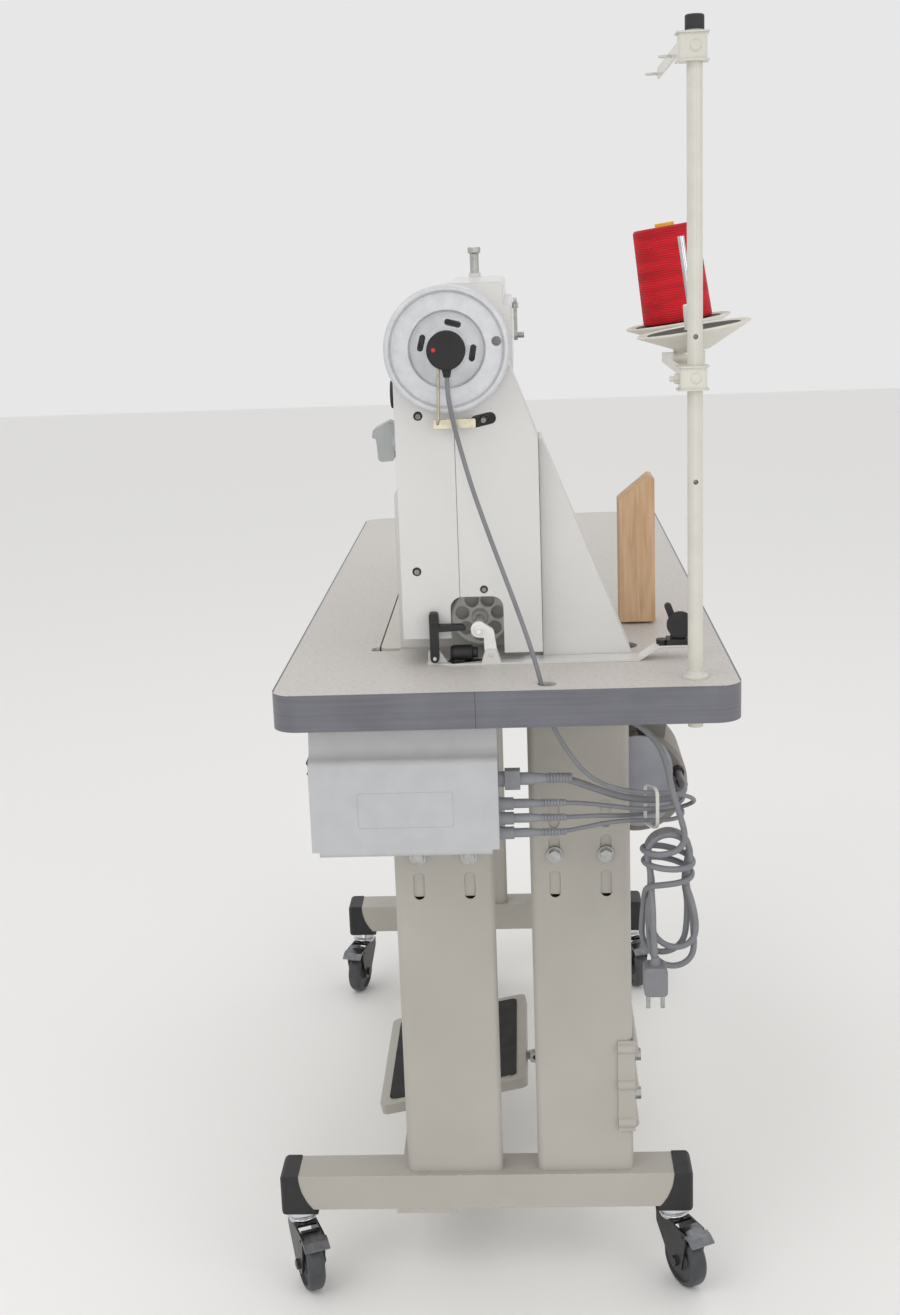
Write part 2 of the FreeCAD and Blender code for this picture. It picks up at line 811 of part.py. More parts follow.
def table_top():
    half_x = table_length / 2
    half_y = table_width / 2
    whole = prism(rectangle(-half_x, half_x, -half_y, half_y, table_corner), "XY", table_bottom, table_height)
    inset = edging_thickness
    core_plan = rectangle(-half_x + inset, half_x - inset, -half_y + inset, half_y - inset,
                          table_corner - inset)
    core = prism(core_plan, "XY", table_bottom, table_height)
    edging = whole.cut(core)
    recess = prism(rectangle(bed_left - bed_gap, bed_right + bed_gap, bed_front - bed_gap,
                             bed_rear + bed_gap, bed_corner),
                   "XY", table_height - ledge_depth, table_height)
    shrink = ledge_width - bed_gap
    opening = prism(rectangle(bed_left + shrink, bed_right - shrink, bed_front + shrink, bed_rear - shrink,
                              8), "XY",
                    table_bottom, table_height)
    relief = prism(rectangle(bed_right - 8, bed_right + bed_gap + 9, bed_front - 10, bed_front + 24, 5), "XY",
                   table_height - ledge_depth, table_height)
    half_slot = belt_slot_width / 2
    belt_slot = prism(rectangle(belt_x - half_slot, belt_x + half_slot, belt_slot_front, belt_slot_rear,
                                half_slot - 0.01), "XY",
                      table_bottom, table_height)
    cable_hole = rod(cable_hole_radius, Vec(cable_hole_x, cable_hole_y, table_bottom),
                     Vec(cable_hole_x, cable_hole_y, table_height))
    pole_hole = rod(pole_radius + seat_gap, Vec(pole_x, pole_y, table_bottom),
                    Vec(pole_x, pole_y, table_height))
    core = core.cut([recess, opening, relief, belt_slot, cable_hole, pole_hole])
    return [core, edging]


def head_rest_post():
    washer = 3.0
    width = 43.0
    near = 294.0
    front = 138.5
    low = table_height + washer
    side = [(front, low, 1.5), (front + width, low, 1.5), (front + width, low + 178, 5),
            (front + width - 7, low + 178, 3),
            (front, low + 149, 3)]
    post = prism(side, "YZ", near - width, near)
    middle = Vec(near - width / 2, front + width / 2, table_height)
    return [post, rod(10, middle, middle + along_z * washer)]


def head_bed():
    plate = prism(rectangle(bed_left, bed_right, bed_front, bed_rear, bed_corner), "XY",
                  table_height - ledge_depth, bed_top)
    inset = ledge_width + bed_gap
    low = table_height - ledge_depth - bed_depth
    x0 = bed_left + inset
    x1 = bed_right - inset
    y0 = bed_front + inset
    y1 = bed_rear - inset
    under = prism(rectangle(x0, x1, y0, y1, 14), "XY", low, table_height - ledge_depth)
    pan = prism(rectangle(x0 + bed_wall, x1 - bed_wall, y0 + bed_wall, y1 - bed_wall, 8), "XY", low,
                table_height - ledge_depth)
    foot = outline(rectangle(needle_x - 52, needle_x + 56, needle_y - 42, needle_y + 38, 26),
                   on_plane("XY", bed_top))
    head = outline(rectangle(needle_x - 40, needle_x + 44, needle_y - 30, needle_y + 28, 22),
                   on_plane("XY", post_top - post_plate))
    post = Part.makeLoft([foot, head], True, True)
    plate_top = prism(rectangle(needle_x - 41, needle_x + 45, needle_y - 31, needle_y + 29, 22), "XY",
                      post_top - post_plate, post_top)
    bed = joined(plate, under.cut(pan), post, plate_top)
    hook_low = hook_top - hook_height - running_gap
    at = lambda z: Vec(hook_x, needle_y, z)
    pocket = rod(hook_radius + 0.8, at(hook_low), at(post_top - post_plate))
    window = block(hook_x, hook_x + 60, needle_y - 13, needle_y + 13, hook_low, post_top - post_plate)
    shaft_hole = rod(stud_radius + running_gap, at(hook_low - 30), at(hook_low))
    needle_hole = rod(3, Vec(needle_x, needle_y, hook_low - 8), Vec(needle_x, needle_y, post_top + 1))
    return [bed.cut([pocket, window, shaft_hole, needle_hole])]


def hook():
    low = hook_top - hook_height
    at = lambda z: Vec(hook_x, needle_y, z)
    body = [(0, low - 26), (stud_radius, low - 26), (stud_radius, low), (hook_radius - 3, low, 1.5),
            (hook_radius, low + 8, 1.5),
            (hook_radius, hook_top, 1.5), (hook_radius - 3, hook_top), (hook_radius - 3, hook_top - 8),
            (4, hook_top - 8),
            (4, hook_top - 2), (0, hook_top - 2)]
    shell = turned(body, at(0), along_z)
    gate = block(hook_x + hook_radius - 6, hook_x + hook_radius + 2, needle_y - 5, needle_y + 5, low + 12,
                 hook_top + 1)
    return [shell.cut(gate)]


def head_arm():
    upper = [(head_front, arm_bottom, 28), (head_front, arm_top - 44, 42), (-62, arm_top, 24),
             (arm_shelf_rear, arm_top, 5),
             (arm_shelf_rear, arm_shelf), (head_rear, arm_shelf, 4), (head_rear, arm_bottom, 22)]
    arm = prism(upper, "YZ", arm_left, column_end)
    lower = [(head_foot_front, bed_top), (head_foot_front, head_shoulder, 14),
             (head_front, head_shoulder + 20, 14),
             (head_front, arm_bottom + 30), (head_rear, arm_bottom + 30), (head_rear, head_shoulder, 10),
             (head_foot_rear, head_shoulder - 22, 10), (head_foot_rear, bed_top)]
    column = prism(lower, "YZ", column_start, column_end)
    gullet = block(column_start - arm_gullet, column_start, head_front + 4, head_rear - 4,
                   arm_bottom - arm_gullet, arm_bottom + 20)
    sweep = rod(arm_gullet, Vec(column_start - arm_gullet, head_front, arm_bottom - arm_gullet),
                Vec(column_start - arm_gullet, head_rear, arm_bottom - arm_gullet))
    casting = joined(arm, column, gullet.cut(sweep))
    w = casting_wall
    hollow = [(head_front + w, arm_bottom + w, 20), (head_front + w, arm_top - 48, 34),
              (-60, arm_top - w, 18),
              (arm_shelf_rear - w, arm_top - w, 3),
              (arm_shelf_rear - w, arm_shelf - w), (head_rear - w, arm_shelf - w, 2),
              (head_rear - w, arm_bottom + w, 14)]
    shaft_room = prism(hollow, "YZ", bearing_wall_x + bearing_wall, column_end - w)
    needle_room = prism(hollow, "YZ", arm_left - 1, bearing_wall_x)
    foot_room = prism(rectangle(column_start + w, column_end - w, head_front + w, head_rear - w, 8), "XY",
                      bed_top, arm_bottom + 40)
    casting = casting.cut([shaft_room, needle_room, foot_room])
    at = lambda x: shaft_axis + along_x * x
    shaft_bore = rod(shaft_radius + running_gap, at(shaft_end - 2), at(column_end + 1))
    needle_bore = rod(needle_bar_radius + running_gap, Vec(needle_x, needle_y, arm_bottom - 5),
                      Vec(needle_x, needle_y, arm_top + 1))
    presser_bore = rod(presser_bar_radius + running_gap, Vec(needle_x, presser_y, arm_bottom - 5),
                       Vec(needle_x, presser_y, arm_shelf - 10))
    screw_bore = rod(presser_screw_radius + running_gap, Vec(needle_x, presser_y, arm_shelf - 5),
                     Vec(needle_x, presser_y, arm_top + 20))
    half_slot = takeup_sheet / 2 + 1.5
    takeup_slot = block(takeup_x - half_slot, takeup_x + half_slot, head_front - 5, takeup_y + 13,
                        takeup_z - 40, takeup_z + 64)
    collar = rod(presser_screw_radius + 2.3, Vec(needle_x, presser_y, arm_top - 5),
                 Vec(needle_x, presser_y, arm_top + 5))
    casting = joined(casting, collar).cut([shaft_bore, needle_bore, presser_bore, screw_bore, takeup_slot])
    studs = [
        rod(2, Vec(takeup_x - half_slot - 1, takeup_y, takeup_z),
            Vec(bearing_wall_x + 2, takeup_y, takeup_z)),
        rod(3, Vec(tension_x, head_front + 3, tension_z), Vec(tension_x, head_front - 20, tension_z)),
        rod(stud_radius, Vec(dial_x, head_front + 3, dial_z), Vec(dial_x, head_front - 10, dial_z)),
        rod(stud_radius, Vec(reverse_x, head_front + 3, reverse_z),
            Vec(reverse_x, head_front - 16, reverse_z)),
        rod(4, Vec(lifter_x, head_rear - 3, lifter_z), Vec(lifter_x, head_rear + 8, lifter_z)),
    ]
    casting = joined(casting, *studs)
    discs = []
    for offset in (1.0, 4.5):
        y = head_front - offset
        discs.append(ring(12, 3 + seat_gap, Vec(tension_x, y, tension_z), Vec(tension_x, y - 3, tension_z)))
    return [casting] + discs


def face_plate():
    inset = 4.0
    plan = [(head_front + inset, arm_bottom + inset, 24), (head_front + inset, arm_top - 46, 38),
            (-63, arm_top - inset, 22),
            (arm_shelf_rear - inset, arm_top - inset, 3), (arm_shelf_rear - inset, arm_shelf - inset),
            (head_rear - inset, arm_shelf - inset, 3), (head_rear - inset, arm_bottom + inset, 18)]
    return [prism(plan, "YZ", arm_left - face_plate_thickness, arm_left)]


def needle_bar():
    tip = post_top + 18
    clamp = tip + 34
    at = lambda z: Vec(needle_x, needle_y, z)
    profile = [(0, tip), (needle_radius, tip + 5), (needle_radius, clamp), (6, clamp), (6, clamp + 12, 1.5),
               (needle_bar_radius, clamp + 14), (needle_bar_radius, arm_top - 1), (0, arm_top - 1)]
    return [turned(profile, at(0), along_z)]


def presser_bar():
    sole = post_top + 3
    bar = rod(presser_bar_radius, Vec(needle_x, presser_y, sole + 29),
              Vec(needle_x, presser_y, arm_shelf - 21))
    shank = block(needle_x - 6, needle_x + 6, presser_y - 6, presser_y + 6, sole + 2, sole + 34)
    toe = [(needle_x - 13, needle_y - 24, 5), (needle_x + 13, needle_y - 24, 5),
           (needle_x + 11, presser_y + 8, 3),
           (needle_x - 11, presser_y + 8, 3)]
    foot = prism(toe, "XY", sole, sole + 3)
    slot = prism(rectangle(needle_x - 3.5, needle_x + 3.5, needle_y - 30, needle_y + 5, 3), "XY", sole - 1,
                 sole + 4)
    return [joined(bar, shank, foot.cut(slot))]


def presser_screw():
    r = presser_screw_radius
    top = presser_screw_top
    low = arm_shelf - 3
    profile = [(0, low), (r, low), (r, top - 9), (r + 2.7, top - 7, 1), (r + 2.7, top, 1.2), (0, top)]
    slot = block(needle_x - 12, needle_x + 12, presser_y - 0.8, presser_y + 0.8, top - 2, top + 1)
    return [turned(profile, Vec(needle_x, presser_y, 0), along_z).cut(slot)]


def takeup_lever():
    near = takeup_x - takeup_sheet / 2
    far = takeup_x + takeup_sheet / 2
    arm = link_bar("YZ", (takeup_y, takeup_z), (head_front - 16, takeup_z + 18), 8, 5, near, far)
    eye = rod(1.6, Vec(near - 1, head_front - 16, takeup_z + 18),
              Vec(far + 1, head_front - 16, takeup_z + 18))
    bore = rod(2 + running_gap, Vec(near - 1, takeup_y, takeup_z), Vec(far + 1, takeup_y, takeup_z))
    return [arm.cut([eye, bore])]


def tension_knob():
    near = head_front - 9
    profile = [(3 + running_gap, 0), (12, 0, 1), (12, 4, 1), (9, 6), (9, 14, 2), (3 + running_gap, 14)]
    return [turned(profile, Vec(tension_x, near, tension_z), along_y * -1)]


def stitch_dial():
    near = head_front - 0.6
    r = stud_radius + running_gap
    profile = [(r, 0), (dial_radius, 0, 1), (dial_radius, 7, 1.5), (dial_radius - 7, 9),
               (dial_radius - 8, 16, 2), (r, 16)]
    dial = turned(profile, Vec(dial_x, near, dial_z), along_y * -1)
    flutes = []
    for step in range(12):
        turn = math.radians(30 * step)
        spot = Vec(dial_x + (dial_radius + 1.2) * math.cos(turn), 0,
                   dial_z + (dial_radius + 1.2) * math.sin(turn))
        flutes.append(rod(2.4, spot + along_y * (near + 1), spot + along_y * (near - 20)))
    return [dial.cut(flutes)]


def reverse_lever():
    near = head_front - 1
    hub = rod(10, Vec(reverse_x, near, reverse_z), Vec(reverse_x, near - 14, reverse_z))
    arm = link_bar("XZ", (reverse_x, reverse_z), (reverse_x - 42, reverse_z + 10), 8, 6, near - 14, near - 6)
    handle = [(near - 6, reverse_z + 14, 3), (near - 6, reverse_z + 5), (near - 16, reverse_z + 2),
              (near - 16, reverse_z - 24, 4),
              (near - 35, reverse_z - 25, 5), (near - 37, reverse_z + 2), (near - 42, reverse_z + 4, 2),
              (near - 40, reverse_z + 13, 3),
              (near - 22, reverse_z + 22, 3)]
    paddle = prism(handle, "YZ", reverse_x - 62, reverse_x - 24)
    bore = rod(stud_radius + running_gap, Vec(reverse_x, near + 1, reverse_z),
               Vec(reverse_x, near - 30, reverse_z))
    return [joined(hub, arm, paddle).cut(bore)]


def lifter_lever():
    near = head_rear + 1
    far = near + 5
    arm = link_bar("XZ", (lifter_x, lifter_z), (lifter_x, lifter_z - lifter_length), 10, 7, near, far)
    bore = rod(4 + running_gap, Vec(lifter_x, near - 1, lifter_z), Vec(lifter_x, far + 1, lifter_z))
    thumb = rod(4, Vec(lifter_x, far, lifter_z - lifter_length),
                Vec(lifter_x, far + 9, lifter_z - lifter_length))
    return [joined(arm.cut(bore), thumb)]


def handwheel():
    at = lambda x: shaft_axis + along_x * x
    half = pulley_width / 2
    r = handwheel_radius
    back = wheel_face - handwheel_depth
    lip = r - handwheel_lip
    groove = belt_width / 2 + 1
    low = belt_x - half
    profile = [(0, shaft_end), (shaft_radius, shaft_end), (shaft_radius, low), (pulley_radius, low),
               (pulley_radius, belt_x - groove - 2), (pulley_groove, belt_x - groove + 1),
               (pulley_groove, belt_x + groove - 1),
               (pulley_radius, belt_x + groove + 2), (pulley_radius, belt_x + half), (20, belt_x + half),
               (20, back + 5),
               (handwheel_recess, back + 7), (lip - 2, back + 3, 3), (lip, back, 2), (r, back, 4),
               (r, wheel_face, 4),
               (lip, wheel_face, 2), (lip - 1.5, wheel_face - 6, 2), (handwheel_recess, wheel_face - 5, 1),
               (handwheel_recess - 1, wheel_face - 11, 2), (24, wheel_face - 8, 2), (19, wheel_face - 4),
               (shaft_radius - 2, wheel_face - 4),
               (shaft_radius - 2, sensor_near + 6), (0, sensor_near + 6)]
    wheel = turned(profile, at(0), along_x)
    cuts = [rod(5, Vec(back - 5, shaft_y + 53, shaft_z + 7), Vec(wheel_face + 5, shaft_y + 53, shaft_z + 7))]
    for turn in (75, 165, 350):
        slot = prism(rectangle(24.5, 31, -9, 9, 3.2), "YZ", back - 2, wheel_face)
        slot.rotate(Vec(0, 0, 0), along_x, turn)
        slot.translate(shaft_axis)
        cuts.append(slot)
    return [wheel.cut(cuts)]


def position_sensor():
    at = lambda x: shaft_axis + along_x * x
    r = sensor_radius
    case = turned([(0, sensor_near), (r, sensor_near, 1.5), (r, sensor_far, 2.5), (0, sensor_far)], at(0),
                  along_x)
    mouth = rod(shaft_radius - 2 + running_gap, at(sensor_near - 1), at(sensor_near + 8))
    middle = (sensor_near + sensor_far) / 2
    boot = turned([(0, 0), (5.5, 0), (3.6, 9), (0, 9)], Vec(middle, shaft_y, shaft_z - r + 1.5), along_z * -1)
    case = joined(case.cut(mouth), boot)
    clip_x = guard_face + 14
    clip_z = shaft_z - 80
    stay_y = shaft_y - 9
    foot = Vec(clip_x, stay_y - 4, clip_z)
    head = Vec(middle - 4, stay_y, shaft_z - r + 3)
    knee = Vec(wheel_face + 3 * stay_radius, stay_y - 2, clip_z + 8)
    bend = Part.makeSphere(stay_radius, knee)
    stay = joined(rod(stay_radius, foot, knee), bend, rod(stay_radius, knee, head))
    plate = prism(rectangle(stay_y - 9, shaft_y + 28, clip_z - 5, clip_z + 5, 2), "YZ", clip_x - 1,
                  clip_x + 1)
    standoff = rod(4, Vec(guard_face, shaft_y + 24, clip_z), Vec(clip_x - 1, shaft_y + 24, clip_z))
    stay_set = joined(stay, plate, standoff).cut(case)
    return [case, stay_set]


# The loop that wraps two circles, as a face outline in the belt's plane.
def loop_prism(radius_top, radius_low, start, end):
    top = Vec(0, shaft_y, shaft_z)
    low = Vec(0, motor_y, motor_z)
    span = low - top
    heading = math.atan2(span.z, span.y)
    lean = math.acos((radius_top - radius_low) / span.Length)
    spot = lambda centre, radius, angle: Vec(start, centre.y + radius * math.cos(angle),
                                             centre.z + radius * math.sin(angle))
    a = spot(top, radius_top, heading + lean)
    b = spot(low, radius_low, heading + lean)
    c = spot(low, radius_low, heading - lean)
    d = spot(top, radius_top, heading - lean)
    edges = [
        Part.LineSegment(a, b).toShape(),
        Part.Arc(b, spot(low, radius_low, heading), c).toShape(),
        Part.LineSegment(c, d).toShape(),
        Part.Arc(d, spot(top, radius_top, heading + math.pi), a).toShape(),
    ]
    return Part.Face(Part.Wire(edges)).extrude(along_x * (end - start))


def drive_belt():
    start = belt_x - belt_width / 2
    end = belt_x + belt_width / 2
    inner_top = pulley_groove + running_gap
    inner_low = motor_pulley_groove + running_gap
    outer = loop_prism(inner_top + belt_height, inner_low + belt_height, start, end)
    return [outer.cut(loop_prism(inner_top, inner_low, start, end))]


def guard_shell():
    top = shaft_z + shaft_y - guard_front
    bend = shaft_y - guard_front - 0.1
    crown = 2 * shaft_y - guard_front
    t = guard_sheet
    low = guard_rear_bottom - 50
    outer = [(guard_front, low), (guard_front, top, bend), (crown, top, bend), (crown, shaft_z, 20),
             (guard_knee_y, guard_knee_z, 20),
             (guard_rear, guard_slope_bottom), (guard_rear, low)]
    inner = [(guard_front + t, low), (guard_front + t, top - t, bend - t), (crown - t, top - t, bend - t),
             (crown - t, shaft_z, 20),
             (guard_knee_y - t, guard_knee_z - t / 2, 20), (guard_rear - t, guard_slope_bottom - t / 2),
             (guard_rear - t, low)]
    shell = prism(outer, "YZ", column_end, guard_face).cut(prism(inner, "YZ", column_end, guard_face - t))
    belt_way = block(column_end - 1, guard_face - 12, guard_rear - 2 * t, guard_rear + 1, low,
                     guard_slope_bottom - 2 * t)
    hub_hole = rod(guard_hub_hole, shaft_axis + along_x * (guard_face - 10),
                   shaft_axis + along_x * (guard_face + 10))
    window = prism([(window_front, low), (window_front, window_top, window_corner),
                    (window_rear, window_top, window_corner),
                    (window_rear, low)], "YZ", guard_face - 10, guard_face + 10)
    holes = []
    for y, z, radius in ((-88, shaft_z - 72, 5), (-96, table_height + 106, 5),
                         (-22, window_top + 8, 4.5)):
        holes.append(rod(radius, Vec(guard_face - 10, y, z), Vec(guard_face + 10, y, z)))
    slot = prism(rectangle(-14, 14, -6.5, 6.5, 6.4), "YZ", guard_face - 10, guard_face + 10)
    slot.rotate(Vec(0, 0, 0), along_x, 12)
    slot.translate(Vec(0, shaft_y + 36, shaft_z - 78))
    return shell.cut([belt_way, hub_hole, window, slot] + holes)


def belt_guard_front():
    part = guard_shell()
    keep = block(0, 2 * guard_face, guard_front - 1, guard_split - seat_gap, guard_front_bottom,
                 2 * table_height)
    return [part.common(keep)]


def belt_guard_rear():
    part = guard_shell()
    keep = block(0, 2 * guard_face, guard_split + seat_gap, guard_rear + 1, guard_rear_bottom,
                 2 * table_height)
    return [part.common(keep)]


def belt_guard_skirt():
    front = guard_rear + 0.5
    t = guard_sheet
    outer = [(front, table_height), (skirt_tip, table_height), (skirt_top_rear, skirt_top, 3),
             (front, skirt_top)]
    run = skirt_tip - skirt_top_rear
    rise = skirt_top - table_height
    slant = t * math.hypot(run, rise) / rise
    inner = [(front - 5, table_height), (skirt_tip - slant, table_height),
             (skirt_top_rear - slant + run / rise * 2 * t, skirt_top - 2 * t),
             (front - 5, skirt_top - 2 * t)]
    shell = prism(outer, "YZ", skirt_back, skirt_face)
    return [shell.cut(prism(inner, "YZ", skirt_back + t, skirt_face - t))]


def winder_base():
    t = strip_thickness
    low = table_height
    strip = prism([(strip_far, -62, 3), (strip_far + 4, -88, 3), (strip_near - 8, -88, 3),
                   (strip_near, -60, 8), (strip_near, 150),
                   (strip_far, 150)], "XY", low, low + t)
    rise = 14.0
    ramp = prism([(149, low), (150, low), (172, low + rise), (208, low + rise), (208, low + rise + t),
                  (171, low + rise + t),
                  (149, low + t)], "YZ", strip_far + 3, strip_near - 3)
    ear_near = winder_arm_near + 1
    ear_far = winder_arm_near - winder_arm_sheet - 1
    ears = []
    for x0, x1 in ((ear_near, ear_near + 2.5), (ear_far - 2.5, ear_far)):
        shape = [(winder_pivot_y - 12, low), (winder_pivot_y + 12, low),
                 (winder_pivot_y + 6, winder_pivot_z + 6, 5),
                 (winder_pivot_y - 6, winder_pivot_z + 6, 5)]
        ears.append(prism(shape, "YZ", x0, x1))
    pin = rod(2, Vec(ear_far - 4, winder_pivot_y, winder_pivot_z),
              Vec(ear_near + 4, winder_pivot_y, winder_pivot_z))
    latch_ear = prism([(-87, low), (-64, low), (-74, low + 16, 3), (-87, low + 16, 3)], "YZ", guard_face,
                      guard_face + 2)
    latch_pin = rod(2, Vec(guard_face, -79, low + 9), Vec(guard_face + 14, -79, low + 9))
    base = joined(strip, ramp, pin, latch_ear, latch_pin, *ears)
    cup_z = low + t + 9
    cup = turned([(0, 0), (7, 0, 1), (9, 4), (9, 24, 1), (6, 26), (6, 31, 1), (0, 31)],
                 Vec(strip_near - 16, -62, cup_z), along_y)
    cup_foot = block(strip_near - 22, strip_near - 10, -58, -46, low + t, cup_z - 4)
    deck = low + rise + t
    x_mid = (strip_near + strip_far) / 2
    unit = block(x_mid - 11, x_mid + 11, 180, 206, deck, deck + 6)
    screw = rod(7, Vec(x_mid, 176 - 0.5, deck), Vec(x_mid, 176 - 0.5, deck + 5))
    post = prism([(184, deck + 6), (202, deck + 6), (200, deck + 24, 6), (187, deck + 26, 6)], "YZ",
                 x_mid - 3, x_mid + 3)
    disc = rod(15, Vec(x_mid + 3, 195, deck + 22), Vec(x_mid + 7, 195, deck + 22))
    guide = link_bar("YZ", (190, deck + 20), (182, deck + 42), 4, 4, x_mid - 3, x_mid + 3)
    return [base, joined(cup, cup_foot), joined(unit, post, disc, guide, screw)]


def winder_arm():
    near = winder_arm_near
    far = near - winder_arm_sheet
    bar = link_bar("YZ", (winder_pivot_y, winder_pivot_z), (winder_wheel_y + 11, winder_wheel_z - 4), 7, 6,
                   far, near)
    top = link_bar("YZ", (winder_wheel_y + 11, winder_wheel_z - 4), (winder_wheel_y, winder_wheel_z), 6, 9,
                   far, near)
    arm = joined(bar, top)
    pivot = rod(2 + running_gap, Vec(far - 1, winder_pivot_y, winder_pivot_z),
                Vec(near + 1, winder_pivot_y, winder_pivot_z))
    bush = rod(spindle_radius + running_gap, Vec(far - 1, winder_wheel_y, winder_wheel_z),
               Vec(near + 1, winder_wheel_y, winder_wheel_z))
    return [arm.cut([pivot, bush])]


def winder_wheel():
    near = belt_x + winder_wheel_width / 2
    far = belt_x - winder_wheel_width / 2
    centre = Vec(0, winder_wheel_y, winder_wheel_z)
    r = winder_wheel_radius
    out = winder_arm_near - winder_arm_sheet - 0.5
    tip = winder_arm_near + 14
    profile = [(0, far), (r, far, 2), (r, near, 2), (10, near), (8, near + 6),
               (spindle_radius + 2, near + 8), (spindle_radius + 2, out),
               (spindle_radius, out), (spindle_radius, winder_arm_near + 0.6),
               (spindle_radius + 2, winder_arm_near + 0.6),
               (spindle_radius + 2, winder_arm_near + 3), (spindle_radius, winder_arm_near + 3),
               (spindle_radius, tip, 1.2), (0, tip)]
    wheel = turned(profile, centre, along_x)
    holes = []
    for step in range(winder_holes):
        turn = 2 * math.pi * (step + 0.25) / winder_holes
        y = winder_wheel_y + winder_hole_circle * math.cos(turn)
        z = winder_wheel_z + winder_hole_circle * math.sin(turn)
        holes.append(rod(winder_hole_radius, Vec(far - 1, y, z), Vec(near + 1, y, z)))
    return [wheel.cut(holes)]


def winder_latch():
    far = guard_face + 2.5
    near = far + 10
    z = table_height + 9
    post = link_bar("YZ", (-79, z), (-79, z + 40), 5, 5, far, near)
    thumb = prism([(-84, z + 40), (-84, z + 52, 3), (-74, z + 52, 3), (-73, z + 40)], "YZ", far, near + 2)
    arm = prism([(-78, z + 30), (-78, z + 38, 2), (-47, z + 38, 4), (-40, z + 30, 2), (-47, z + 31)], "YZ",
                far + 1, near - 1)
    bore = rod(2 + running_gap, Vec(far - 1, -79, z), Vec(near + 1, -79, z))
    return [joined(post, thumb, arm).cut(bore)]


def motor_body():
    at = lambda x: motor_axis + along_x * x
    r = motor_radius
    profile = [(0, motor_left), (r - 12, motor_left, 3), (r - 8, motor_left + 14), (r, motor_left + 18, 3),
               (r, motor_right - 10, 3),
               (r - 4, motor_right, 2), (0, motor_right)]
    case = turned(profile, at(0), along_x)
    ribs = []
    for step in range(9):
        turn = 20 * step - 80
        rib = block(motor_left + 26, motor_right - 26, -2, 2, -r - 3, -r + 6)
        rib.rotate(Vec(0, 0, 0), along_x, turn)
        rib.translate(motor_axis)
        ribs.append(rib)
    waist = 34.0
    foot = prism([(motor_y - waist, motor_z + r - 20), (motor_y + waist, motor_z + r - 20),
                  (motor_y + waist + 14, table_bottom - 10, 6),
                  (motor_y + waist + 14, table_bottom), (motor_y - waist - 14, table_bottom),
                  (motor_y - waist - 14, table_bottom - 10, 6)],
                 "YZ", motor_left + 30, motor_right - 18)
    stud = rod(stud_radius, Vec(rod_top_x + rod_block / 2 + 1, speed_axis_y, speed_axis_z),
               Vec(motor_left + 5, speed_axis_y, speed_axis_z))
    glands = []
    for y, z, radius in ((200, motor_z + 16, 7), (203, motor_z + 2, 5), (196, motor_z - 13, 5)):
        glands.append(rod(radius, Vec(motor_right - 8, y, z), Vec(motor_right + 8, y, z)))
    shaft_hole = rod(motor_shaft_radius + running_gap, at(motor_right - 32), at(motor_right + 1))
    case = joined(case, foot, stud, *ribs, *glands).cut(shaft_hole)
    outer = prism(rectangle(motor_y - cover_radius, motor_y + cover_radius, motor_z - cover_radius,
                            motor_z + 70, cover_radius - 0.1),
                  "YZ", motor_right, cover_right)
    inner = prism(rectangle(motor_y - cover_radius + cover_sheet, motor_y + cover_radius - cover_sheet,
                            motor_z - cover_radius + cover_sheet,
                            motor_z + 70 - cover_sheet, cover_radius - cover_sheet - 0.1), "YZ", motor_right,
                  cover_right - cover_sheet)
    belt_way = block(motor_right, cover_right - cover_sheet - 1, motor_y - 80, motor_y + 40, motor_z - 6,
                     motor_z + 90)
    return [case, outer.cut([inner, belt_way])]


def motor_pulley():
    at = lambda x: motor_axis + along_x * x
    half = pulley_width / 2
    groove = belt_width / 2 + 1
    r = motor_pulley_radius
    s = motor_shaft_radius
    profile = [(0, motor_right - 30), (s, motor_right - 30), (s, belt_x - half), (r, belt_x - half),
               (r, belt_x - groove - 2),
               (motor_pulley_groove, belt_x - groove + 1), (motor_pulley_groove, belt_x + groove - 1),
               (r, belt_x + groove + 2),
               (r, belt_x + half), (0, belt_x + half)]
    pulley = turned(profile, at(0), along_x)
    holes = []
    for step in range(4):
        turn = math.radians(90 * step)
        y = motor_y + 19 * math.cos(turn)
        z = motor_z + 19 * math.sin(turn)
        holes.append(rod(4, Vec(belt_x - half - 1, y, z), Vec(belt_x + half + 1, y, z)))
    return [pulley.cut(holes)]


